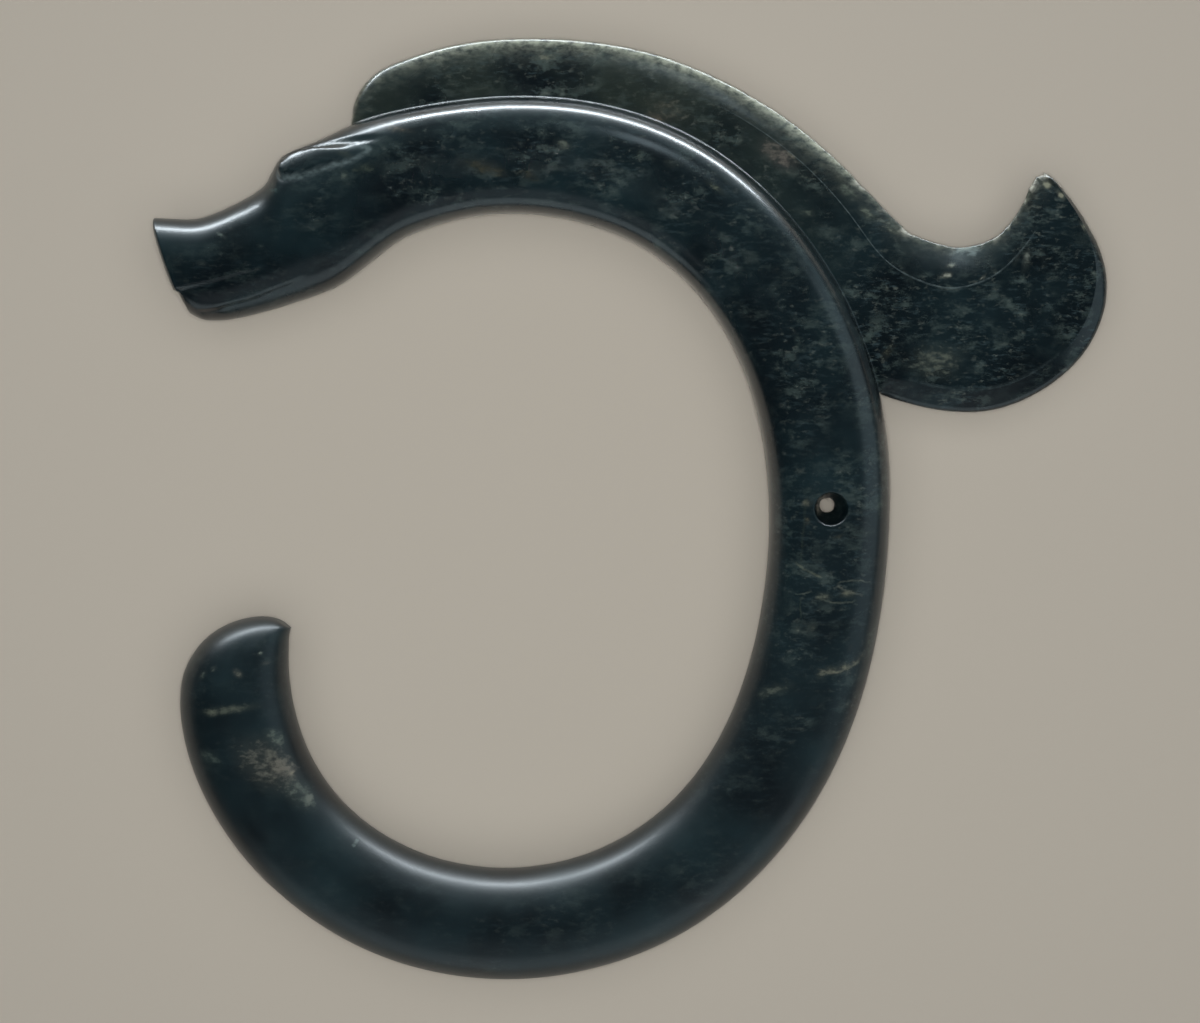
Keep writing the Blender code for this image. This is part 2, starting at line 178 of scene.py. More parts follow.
@dataclass
class Skin:
    """The oval skin from the snout's end to the tip of the tail, in drawn millimetres.

    A point on it has a place, the distance along the body, and an angle round the section: 0 at the
    back, a quarter turn on the side that faces up and a half turn at the belly.
    """

    half_width: float = 16.0
    half_depth: float = 12.5
    least_depth: float = 0.05
    foot_squareness: float = 2.35
    squareness_stops: Table = (
        (0.0, 2.15), (34.0, 2.2), (80.0, 3.0), (175.0, 3.0), (250.0, 2.35), (330.0, 2.08),
    )
    stop_blur: float = 12.0
    blur_samples: int = 5
    rest_flat_width: float = 7.5
    centre: tuple[float, float] = (-28.0, -8.0)
    slope_step: float = 0.5
    spoke_step: float = 22.5
    spoke_radii: tuple[float, ...] = (
        106.6, 103.4, 95.3, 87.1, 82.4, 84.2, 91.7, 100.5, 106.1, 106.9, 101.5,
    )
    spoke_widths: tuple[float, ...] = (
        0.99, 1.02, 1.03, 1.06, 1.03, 1.02, 1.00, 0.98, 0.97, 0.96, 0.97,
    )
    head_ribs: Table = (
        (-130.3, 81.7, -121.4, 56.2, 0.74),
        (-124.4, 81.4, -117.7, 54.2, 0.78),
        (-118.5, 81.5, -112.8, 53.8, 0.81),
        (-110.0, 84.6, -106.3, 54.8, 0.85),
        (-103.5, 88.0, -98.9, 56.7, 0.90),
        (-99.3, 91.8, -93.4, 58.4, 0.94),
        (-96.6, 96.9, -88.2, 60.1, 0.97),
        (-91.1, 100.5, -81.4, 62.8, 0.99),
        (-83.2, 103.7, -75.1, 66.9, 1.00),
        (-76.2, 106.9, -69.6, 71.2, 1.00),
        (-69.1, 109.3, -62.8, 76.0, 1.00),
        (-61.5, 111.0, -54.6, 79.4, 1.00),
    )
    tail_ribs: Table = (
        (-124.6, -57.7, -94.5, -48.8, 1.00),
        (-124.9, -48.9, -95.1, -42.3, 0.99),
        (-123.5, -42.3, -95.1, -38.5, 0.95),
        (-120.1, -36.4, -95.0, -35.7, 0.87),
        (-115.5, -32.1, -94.9, -33.7, 0.76),
        (-109.4, -29.1, -94.7, -32.5, 0.62),
        (-102.8, -27.9, -94.5, -31.6, 0.45),
        (-97.8, -28.7, -94.4, -31.2, 0.28),
        (-95.4, -30.3, -94.3, -31.0, 0.14),
    )

    def __post_init__(self) -> None:
        """Runs one smooth line of ribs through the head, the C and the tail."""
        head = np.array(self.head_ribs)
        tail = np.array(self.tail_ribs)
        count = len(self.spoke_radii)
        angles = np.radians(90.0 - self.spoke_step * np.arange(count))
        spokes = np.stack([np.cos(angles), np.sin(angles)], axis=1)
        hoop = np.array(self.centre) + np.array(self.spoke_radii)[:, None] * spokes
        middles = [rib_middles(ribs) for ribs in (head, tail)]
        centres = np.vstack([middles[0], hoop, middles[1]])
        self.knots = running_length(centres)
        line = SmoothLine(self.knots, centres)
        places = self.knots[len(head) : len(head) + count]
        along = line(places + self.slope_step) - line(places - self.slope_step)
        outward = unit_rows(np.stack([-along[:, 1], along[:, 0]], axis=1))
        half = self.half_width * np.array(self.spoke_widths)[:, None]
        ribs = np.hstack([hoop + outward * half, hoop - outward * half, np.ones_like(half)])
        self.rib_line = SmoothLine(self.knots, np.vstack([head, ribs, tail]))
        self.first_spoke = len(head)
        self.head_end = float(self.knots[len(head) - 1])
        self.tail_start = float(self.knots[-len(tail)])
        self.length = float(self.knots[-1])

    def place_of_spoke(self, degrees: float) -> float:
        """How far along the body a direction is passed, in degrees clockwise from straight up."""
        number = self.first_spoke + degrees / self.spoke_step
        return float(np.interp(number, np.arange(len(self.knots)), self.knots))

    def middle_height(self) -> float:
        """The middle plane's height over the table, once the underside is ground flat."""
        share = (self.rest_flat_width / (2 * self.half_width)) ** self.foot_squareness
        return self.half_depth * (1 - share) ** (1 / self.foot_squareness)

    def squareness_at(self, place: np.ndarray | float) -> np.ndarray:
        """How square the section is: the neck and shoulder are squarer than the head and the foot.

        Args:
            place: Distances along the body, in any shape.

        Returns:
            The section's power, eased over each stop.
        """
        stops = np.array(self.squareness_stops)
        shifts = np.linspace(-self.stop_blur, self.stop_blur, self.blur_samples)
        return np.mean(
            [np.interp(place + shift, stops[:, 0], stops[:, 1]) for shift in shifts], axis=0
        )

    def angle_of_level(self, level: np.ndarray, place: np.ndarray | float) -> np.ndarray:
        """The angle, on the upper side, of a level from -1 at the belly to 1 at the back."""
        return np.arccos(signed_power(np.asarray(level, float), self.squareness_at(place) / 2))

    def level_of_angle(self, angle: np.ndarray, place: np.ndarray | float) -> np.ndarray:
        """The level, from -1 at the belly to 1 at the back, of an angle round the section."""
        return signed_power(np.cos(angle), 2 / self.squareness_at(place))

    def angle_at_height(self, height: np.ndarray, place: np.ndarray | float) -> np.ndarray:
        """The small angle at which the skin near the back is this far from the middle plane."""
        share = np.clip(np.asarray(height, float) / self.half_depth, 0.0, 1.0)
        return np.arcsin(share ** (self.squareness_at(place) / 2))

    def points(self, place: np.ndarray, angle: np.ndarray) -> np.ndarray:
        """Finds points on the skin, with heights measured from the middle plane.

        Args:
            place: Distances along the body.
            angle: Angles round the section, of the same shape.

        Returns:
            Points in the last axis.
        """
        rib = self.rib_line(place)
        power = 2 / self.squareness_at(place)
        level = signed_power(np.cos(angle), power)[..., None]
        rise = signed_power(np.sin(angle), power)
        flat = rib_middles(rib) + level * (rib[..., 0:2] - rib[..., 2:4]) / 2
        share = np.clip(rib[..., 4], self.least_depth, 1.0)
        return np.concatenate([flat, (self.half_depth * share * rise)[..., None]], axis=-1)

    def arc(self, place: float, level: float, steps: int = 48) -> float:
        """Measures over the skin from the middle of the upper side to a level.

        Args:
            place: Distance along the body.
            level: From -1 at the belly to 1 at the back.
            steps: Pieces that the arc is measured in.

        Returns:
            The length, positive towards the back.
        """
        angles = np.linspace(math.pi / 2, float(self.angle_of_level(level, place)), steps)
        points = self.points(np.full(steps, place), angles)
        return float(math.copysign(running_length(points)[-1], level))


@dataclass
class ChartLine:
    """A line on the head, read in a flat chart of its skin: place along, arc across."""

    skin: Skin
    marks: Table
    closed: bool = False
    step: float = 0.4

    def __post_init__(self) -> None:
        """Draws the marks into the chart and joins them smoothly."""
        chart = np.array([(place, self.skin.arc(place, level)) for place, level in self.marks])
        if self.closed:
            chart = np.vstack([chart, chart[:1]])
        length = running_length(chart)
        self.line = SmoothLine(length, chart)(np.arange(0.0, length[-1], self.step))
        if self.closed:
            self.line = np.vstack([self.line, self.line[:1]])

    def measure(self, chart: np.ndarray) -> tuple[np.ndarray, np.ndarray, np.ndarray]:
        """Measures points of the chart against the line.

        Args:
            chart: Points as rows of place and arc.

        Returns:
            Distance to the line, side of it, positive on its left, and how far along it the
            nearest point lies, from 0 to 1.
        """
        starts = self.line[:-1]
        runs = np.diff(self.line, axis=0)
        best = np.full(len(chart), np.inf)
        side = np.ones(len(chart))
        share = np.zeros(len(chart))
        for number, (start, run) in enumerate(zip(starts, runs)):
            offset = chart - start
            along = np.clip(offset @ run / (run @ run), 0.0, 1.0)
            gap = offset - along[:, None] * run
            distance = np.hypot(gap[:, 0], gap[:, 1])
            nearer = distance < best
            best[nearer] = distance[nearer]
            turn = run[0] * offset[:, 1] - run[1] * offset[:, 0]
            side[nearer] = np.sign(turn[nearer])
            share[nearer] = (number + along[nearer]) / len(runs)
        return best, side, share

    def contains(self, chart: np.ndarray) -> np.ndarray:
        """Tells which points of the chart lie inside the closed line.

        Args:
            chart: Points as rows of place and arc.

        Returns:
            True for each point inside.
        """
        inside = np.zeros(len(chart), bool)
        for (x0, y0), (x1, y1) in zip(self.line[:-1], self.line[1:]):
            crosses = (y0 > chart[:, 1]) != (y1 > chart[:, 1])
            if y0 != y1:
                where = x0 + (chart[:, 1] - y0) * (x1 - x0) / (y1 - y0)
                inside ^= crosses & (chart[:, 0] < where)
        return inside


@dataclass
class Face:
    """The carved relief of the head: eye, brow groove, mouth, chin line and snout end."""

    skin: Skin
    reach: float = 74.0
    eye_rise: float = 0.5
    eye_rim: float = 1.3
    eye_levels: Span = (0.50, 0.93)
    eye_lean: float = 1.25
    eye_tail: Span = (45.0, 62.0)
    eye_tail_drop: float = 0.95
    outline_depth: float = 0.16
    outline_width: float = 0.50
    outline_inset: float = 0.4
    brow_depth: float = 0.55
    brow_width: float = 0.72
    brow_fade: float = 0.3
    mouth_depth: float = 0.55
    mouth_width: float = 0.42
    mouth_fade: float = 0.45
    jaw_setback: float = 0.9
    jaw_levels: Span = (-0.03, 0.01)
    jaw_edge: Span = (-0.5, 0.1)
    jaw_reach: float = 5.0
    lip_setback: float = 0.45
    lip_edge: float = 0.5
    lip_width: float = 4.5
    lip_ends: Span = (4.0, 26.0)
    chin_depth: float = 0.38
    chin_width: float = 0.45
    chin_fades: Span = (0.1, 0.2)
    chin_panel: float = 0.35
    panel_edge: float = 0.6
    panel_width: float = 5.0
    nostril_radius: float = 1.7
    nostril_depth: float = 1.5
    nostril_level: float = 0.32
    nostril_spacing: float = 8.0
    nostril_slope: Span = (0.25, 1.1)
    eye_outline: Table = (
        (37.0, 0.885), (39.5, 0.915), (43.5, 0.93), (47.5, 0.91), (51.5, 0.85), (56.5, 0.72),
        (61.5, 0.57), (62.6, 0.52), (60.0, 0.49), (57.0, 0.485), (52.5, 0.54), (49.0, 0.57),
        (45.0, 0.58), (41.0, 0.62), (38.0, 0.69), (36.3, 0.80),
    )
    brow_marks: Table = (
        (39.5, 0.97), (44.5, 0.945), (50.0, 0.895), (54.0, 0.83), (58.0, 0.75), (61.5, 0.69),
        (65.0, 0.64), (69.0, 0.585),
    )
    mouth_marks: Table = (
        (0.0, -0.55), (5.0, -0.37), (8.5, -0.29), (16.0, -0.255), (24.0, -0.30), (30.0, -0.36),
    )
    chin_marks: Table = (
        (4.0, -0.88), (6.0, -0.84), (10.0, -0.79), (15.5, -0.745), (20.5, -0.745), (25.0, -0.73),
        (30.0, -0.72), (34.5, -0.73), (39.5, -0.69),
    )

    def __post_init__(self) -> None:
        """Lays the carved lines on the head."""
        self.eye = ChartLine(self.skin, self.eye_outline, closed=True)
        self.brow = ChartLine(self.skin, self.brow_marks)
        self.mouth = ChartLine(self.skin, self.mouth_marks)
        self.chin = ChartLine(self.skin, self.chin_marks)

    def relief(self, chart: np.ndarray, level: np.ndarray) -> np.ndarray:
        """How far the carving stands above the plain skin of the head.

        Args:
            chart: Points as rows of place and arc.
            level: Level of each point, from -1 at the belly to 1 at the back.

        Returns:
            Heights in millimetres, negative where stone is cut away.
        """
        rim, _, _ = self.eye.measure(chart)
        rise = self.eye_rise + self.eye_lean * smoothstep(level, *self.eye_levels)
        tail = 1.0 - self.eye_tail_drop * smoothstep(chart[:, 0], *self.eye_tail)
        eye = rise * tail * smoothstep(rim, 0.0, self.eye_rim) * self.eye.contains(chart)
        eye = eye - self.outline_depth * tail**2 * self.outline(chart)
        gap, _, share = self.brow.measure(chart)
        fade = smoothstep(1.0 - share, 0.0, self.brow_fade)
        brow = -self.brow_depth * fade * hump(gap, self.brow_width)
        gap, side, share = self.mouth.measure(chart)
        fade = smoothstep(1.0 - share, 0.0, self.mouth_fade)
        mouth = -self.mouth_depth * fade * hump(gap, self.mouth_width)
        below = (side < 0) * smoothstep(gap, 0.0, self.lip_edge) * hump(gap, self.lip_width)
        lip = -self.lip_setback * below * (1.0 - smoothstep(chart[:, 0], *self.lip_ends))
        gap, side, share = self.chin.measure(chart)
        front, end = self.chin_fades
        fade = smoothstep(share, 0.0, front) * smoothstep(1.0 - share, 0.0, end)
        chin = -self.chin_depth * fade * hump(gap, self.chin_width)
        panel = (side < 0) * smoothstep(gap, 0.0, self.panel_edge) * hump(gap, self.panel_width)
        return eye + brow + mouth + lip + chin - self.chin_panel * fade * panel

    def outline(self, chart: np.ndarray) -> np.ndarray:
        """How near points of the chart are to the line cut round the eye, from 0 to 1."""
        rim, _, _ = self.eye.measure(chart)
        return hump(rim - self.outline_inset * self.outline_width, self.outline_width)

    def jaw_shift(self, place: np.ndarray, level: np.ndarray) -> np.ndarray:
        """How far the lower jaw's front is set back along the head.

        Args:
            place: Distances along the body.
            level: From -1 at the belly to 1 at the back, of the same shape.

        Returns:
            Lengths in millimetres.
        """
        mouth = self.mouth_marks[0][1]
        below = 1.0 - smoothstep(level, *(mouth + step for step in self.jaw_levels))
        return self.jaw_setback * below * hump(place, self.jaw_reach)

    def end_relief(self, across: np.ndarray, height: np.ndarray, half: float) -> np.ndarray:
        """How far the snout's end is cut back by the mouth, the jaw and the nostrils.

        Args:
            across: Distance from the middle of the end towards the back.
            height: Distance from the middle plane.
            half: Half the length of the end from belly to back.

        Returns:
            Lengths in millimetres.
        """
        mouth = self.mouth_marks[0][1] * half
        cut = self.mouth_depth * hump(across - mouth, self.mouth_width)
        jaw = self.jaw_setback * (1.0 - smoothstep(across, *(mouth + step for step in self.jaw_edge)))
        aside = np.abs(height) - self.nostril_spacing / 2
        reach = np.hypot(across - self.nostril_level * half, aside) / self.nostril_radius
        pit = self.nostril_depth * (1.0 - smoothstep(reach, *self.nostril_slope))
        return cut + jaw + pit


@dataclass
class Mane:
    """The thin plate that grows from the back and sweeps up to a chipped tip.

    Its rooted ribs give a share of the way along the back and the flat point of the crest. Its free
    ribs give the flat points of keel and crest, and its chips a flat point, a radius and a depth.
    """

    skin: Skin
    thickness: float = 5.6
    thickens: float = 0.5
    edge_thickness: float = 0.8
    root_fillet: float = 0.8
    least_fillet: float = 0.2
    crest_bevel: float = 7.0
    valley_bevel: float = 11.5
    valley_place: float = 1.05
    valley_reach: float = 0.16
    keel_bevel: float = 6.0
    keel_free_from: float = 0.94
    keel_free_over: float = 0.08
    least_freed: float = 0.05
    freed_enough: float = 0.15
    fillet_share: float = 0.3
    keel_share: float = 0.44
    crest_share: float = 0.5
    bite_share: float = 0.3
    lens_until: float = 22.0
    lens_over: float = 24.0
    lens_power: float = 3.2
    lens_fullness: float = 0.8
    back_samples: int = 1500
    keel_samples: int = 600
    exit_by: float = 1.15
    nibbles: int = 44
    nibble_seed: int = 11
    nibble_span: Span = (0.30, 0.97)
    nibble_sizes: Span = (0.35, 1.0)
    nibble_depth: float = 0.20
    nibble_reach: float = 0.50
    nibble_base: float = 0.6
    chip_reach: float = 0.45
    chip_shows: float = 0.3
    # The rind mark paints the crust along the crest's rim, and a painted highlight along it.
    rind_reach: float = 2.2
    # The bevel and keel lines stand as a small ridge and are painted paler, partly as scuffing and
    # partly as a painted highlight along the ridge.
    ridge_height: float = 0.04
    crest_line: float = 0.8
    keel_line: float = 0.3
    ridge_ends_before_tip: float = 30.0
    ridge_fade: float = 14.0
    ridge_grows: float = 6.0
    chips: Table = (
        (113.2, 93.4, 2.2, 0.55),
        (110.4, 90.8, 1.8, 0.60),
        (116.2, 90.6, 1.6, 0.50),
        (119.2, 87.4, 1.5, 0.45),
        (124.9, 78.6, 2.1, 0.85),
        (109.6, 88.2, 1.1, 0.35),
        (62.4, 91.0, 1.6, 0.35),
        (76.2, 78.6, 2.4, 0.45),
    )
    first_rib: int = 9
    last_rib: int = 15
    bite: float = 5.0
    crest_roundness: float = 1.7
    keel_roundness: float = 0.62
    ridge_starts_after_exit: float = 1.5
    rooted: Table = (
        (0.000, -76.3, 108.3),
        (0.010, -75.8, 111.8),
        (0.024, -73.9, 116.1),
        (0.044, -69.5, 120.7),
        (0.073, -63.0, 123.8),
        (0.121, -53.3, 127.0),
        (0.248, -27.8, 130.0),
        (0.376, 2.1, 126.9),
        (0.498, 28.8, 116.5),
        (0.613, 51.8, 100.9),
        (0.741, 71.0, 82.0),
        (0.841, 78.2, 76.5),
        (0.935, 85.4, 74.2),
    )
    free: Table = (
        (76.4, 31.2, 91.4, 73.6),
        (86.2, 29.2, 97.1, 75.0),
        (97.2, 29.0, 102.0, 78.2),
        (108.2, 32.2, 105.5, 82.5),
        (118.3, 38.5, 107.7, 86.4),
        (126.5, 48.0, 109.0, 89.8),
        (130.3, 59.2, 109.9, 91.7),
        (130.0, 68.2, 110.7, 92.6),
        (126.6, 77.2, 111.5, 93.2),
        (121.0, 86.0, 112.3, 93.5),
        (116.6, 91.4, 113.2, 93.6),
    )
    front_step: float = 0.45
    front_run: float = 14.0
    rooted_step: float = 1.15
    free_step: float = 0.85
    layers: int = 5
    root_rows: tuple[float, ...] = (0.0, 0.08, 0.22, 0.42, 0.68, 0.94, 1.0)
    plate_rows: tuple[float, ...] = (0.03, 0.15, 0.30, 0.46, 0.62, 0.78, 0.91, 0.98, 1.0)
    bevel_rows: tuple[float, ...] = (0.02, 0.08, 0.18, 0.30, 0.43, 0.56, 0.69, 0.81, 0.91, 0.97, 1.0)

    def __post_init__(self) -> None:
        """Works out the ribs from the nape to the tip."""
        first = self.skin.knots[self.first_rib]
        last = self.skin.knots[self.last_rib]
        rooted = np.array(self.rooted)
        places = first + (last - first) * rooted[:, 0]
        rib = self.skin.rib_line(places)
        keel = rib[:, 0:2] + self.bite * unit_rows(rib[:, 2:4] - rib[:, 0:2])
        ribs = np.vstack([np.hstack([keel, rooted[:, 1:]]), np.array(self.free)])
        knots = (running_length(ribs[:, 0:2]) + running_length(ribs[:, 2:4])) / 2
        line = SmoothLine(knots, ribs)
        self.total = float(knots[-1])
        self.leaves_back = float(knots[len(rooted) - 1])
        self.exit, exit_place = self.find_exit(line)
        root_knots = np.r_[knots[: len(rooted)], self.exit]
        root_places = SmoothLine(root_knots, np.r_[places, exit_place][:, None])
        front = np.arange(0.0, self.front_run, self.front_step)
        rooted_count = math.ceil((self.exit - self.front_run) / self.rooted_step)
        middle = np.linspace(self.front_run, self.exit, rooted_count + 1)
        free_count = math.ceil((self.total - self.exit) / self.free_step)
        outer = np.linspace(self.exit, self.total, free_count + 1)[1:]
        self.along = np.concatenate([front, middle, outer])
        self.exit_rib = len(front) + rooted_count
        self.places = root_places(self.along[: self.exit_rib + 1])[:, 0]
        self.ribs = line(self.along)

    def find_exit(self, line: SmoothLine) -> tuple[float, float]:
        """Finds where the keel comes out of the back.

        Args:
            line: The spline of the mane's ribs.

        Returns:
            How far along the mane it comes out, and the place on the body.
        """
        first, last = self.skin.knots[self.last_rib - 2], self.skin.knots[self.last_rib + 1]
        place = np.linspace(first, last, self.back_samples)
        back = self.skin.rib_line(place)[:, 0:2]
        centre = np.array(self.skin.centre)
        along = np.linspace(self.leaves_back, self.leaves_back * self.exit_by, self.keel_samples)
        keel = line(along)[:, 0:2]
        gap = np.linalg.norm(keel[:, None] - back[None], axis=2)
        nearest = np.argmin(gap, axis=1)
        far = np.linalg.norm(back[nearest] - centre, axis=1)
        outside = np.linalg.norm(keel - centre, axis=1) > far
        i = int(np.argmax(outside))
        return float(along[i]), float(place[nearest[i]])

    def freed(self) -> np.ndarray:
        """How far the keel is ground free at each rib, from 0 on the back to 1."""
        start = self.keel_free_from * self.leaves_back
        return np.clip((self.along - start) / (self.keel_free_over * self.total), 0.0, 1.0)

    def plate(self, length: np.ndarray) -> np.ndarray:
        """Half the plate's thickness at each rib, thinner where the rib is short."""
        half = self.thickness / 2 * np.clip(length / self.crest_bevel, 0.0, 1.0) ** self.thickens
        return np.maximum(half, self.edge_thickness / 2)

    def crest_bevels(self) -> np.ndarray:
        """How wide the bevel towards the crest is, widest by the valley of the mane.

        Returns:
            The width at each rib.
        """
        away = self.along - self.valley_place * self.leaves_back
        widening = (self.valley_bevel - self.crest_bevel) * hump(away, self.valley_reach * self.total)
        return self.crest_bevel + widening

    def root_half(self) -> np.ndarray:
        """Works out the slot in the skin that the rooted ribs grow from.

        Returns:
            Half the slot's width at each of them.
        """
        count = self.exit_rib + 1
        root = self.skin.rib_line(self.places)[:, 0:2]
        length = np.linalg.norm(self.ribs[:count, 2:4] - root, axis=1)
        plate = self.plate(length)
        keel = plate + (self.edge_thickness / 2 - plate) * self.freed()[:count]
        fillet = self.root_fillet * np.clip(length / self.crest_bevel, self.least_fillet, 1.0)
        return keel + fillet

    def bites(self, rim: np.ndarray, nibbled: bool) -> np.ndarray:
        """How deep chips bite into a rim of the mane at each rib.

        Args:
            rim: The rim's flat points.
            nibbled: Whether small scattered nibbles are added to the chips.

        Returns:
            Depths in millimetres.
        """
        depth = np.zeros(len(rim))
        for x, y, radius, deepest in self.chips:
            away = np.linalg.norm(rim - np.array([x, y]), axis=1) / radius
            depth = np.maximum(depth, deepest * np.sqrt(np.clip(1.0 - away**2, 0.0, 1.0)))
        if nibbled:
            chance = np.random.default_rng(self.nibble_seed)
            length = running_length(rim)
            middles = chance.uniform(*self.nibble_span, self.nibbles) * length[-1]
            sizes = chance.uniform(*self.nibble_sizes, self.nibbles)
            for middle, size in zip(middles, sizes):
                away = (length - middle) / (self.nibble_reach * (self.nibble_base + size))
                nibble = self.nibble_depth * size * np.clip(1.0 - away**2, 0.0, 1.0)
                depth = np.maximum(depth, nibble)
        return depth

    def profile(self, roots: np.ndarray) -> tuple[np.ndarray, np.ndarray, dict[Mark, np.ndarray]]:
        """Cuts the section of the plate at every rib.

        Args:
            roots: The flat point that each rib grows from.

        Returns:
            Flat points as rib, row, then x and y, half the thickness there, and marks for the
            finish: how near each point is to the crest's rim, how freshly chipped it is and how
            near it is to the line where a bevel starts.
        """
        crest = self.ribs[:, 2:4]
        length = np.linalg.norm(crest - roots, axis=1)
        rooted = np.arange(len(self.along)) <= self.exit_rib
        freed = self.freed()
        plate = self.plate(length)
        edge = np.full_like(plate, self.edge_thickness / 2)
        fillet = np.minimum(self.root_fillet, self.fillet_share * length)
        keel_width = self.keel_bevel * np.maximum(freed, self.least_freed)
        keel_width = np.minimum(keel_width, self.keel_share * length)
        start = np.where(
            rooted & (freed < self.freed_enough), np.maximum(fillet, keel_width), keel_width
        )
        bevel = np.minimum(self.crest_bevels(), self.crest_share * length)
        turn = length - bevel
        crest_bite = np.minimum(self.bites(crest, nibbled=True), self.bite_share * bevel)
        keel_bite = np.minimum(self.bites(roots, nibbled=False), self.bite_share * start)
        keel_bite = np.where(rooted, 0.0, keel_bite)
        root_rows = np.array(self.root_rows)[None]
        bevel_rows = np.array(self.bevel_rows)[None]
        first = keel_bite[:, None] + root_rows * (start - keel_bite)[:, None]
        second = start[:, None] + np.array(self.plate_rows)[None] * (turn - start)[:, None]
        third = turn[:, None] + bevel_rows * (bevel - crest_bite)[:, None]
        reach = np.hstack([first, second, third])
        keel_edge = plate + (edge - plate) * freed
        ramp = np.clip(reach / start[:, None], 0.0, 1.0) ** self.keel_roundness
        half = keel_edge[:, None] + (plate - keel_edge)[:, None] * ramp
        into = np.clip((reach - turn[:, None]) / bevel[:, None], 0.0, 1.0)
        cut = half + (edge[:, None] - half) * into**self.crest_roundness
        across = np.clip(reach / length[:, None], 0.0, 1.0)
        full = (1.0 - across**self.lens_power) ** self.lens_fullness
        lens = edge[:, None] + (half - edge[:, None]) * full
        cutting = smoothstep(crest[:, 0], self.lens_until, self.lens_until + self.lens_over)
        half = lens + (cut - lens) * cutting[:, None]
        near = np.clip(1.0 - reach / np.maximum(fillet, 1e-6)[:, None], 0.0, 1.0)
        flare = fillet[:, None] * (1.0 - np.sqrt(1.0 - near**2)) * rooted[:, None]
        way = unit_rows(crest - roots)
        flat = roots[:, None] + reach[..., None] * way[:, None]
        inward = length[:, None] - crest_bite[:, None] - reach
        outward = reach - keel_bite[:, None]
        broken = [
            np.clip(bite / self.chip_shows, 0, 1)[:, None] * np.exp(-away / self.chip_reach)
            for bite, away in ((crest_bite, inward), (keel_bite, outward))
        ]
        stop = self.total - self.ridge_ends_before_tip
        fade = 1.0 - smoothstep(self.along, stop - self.ridge_fade, stop)
        begin = self.exit + self.ridge_starts_after_exit
        freshly = smoothstep(self.along, begin, begin + self.ridge_grows)
        keel_row = len(self.root_rows) - 1
        line = np.zeros_like(reach)
        line[:, keel_row + len(self.plate_rows)] = self.crest_line * fade * cutting
        line[:, keel_row] = self.keel_line * fade * freshly
        # The rind and line marks are painted paler in the finish, partly as highlights along the
        # crest's rim and the bevel's ridge.
        marks = {
            Mark.RIND: np.exp(-inward / self.rind_reach),
            Mark.CHIP: np.maximum(*broken),
            Mark.LINE: line,
        }
        return flat, half + flare + self.ridge_height * line, marks


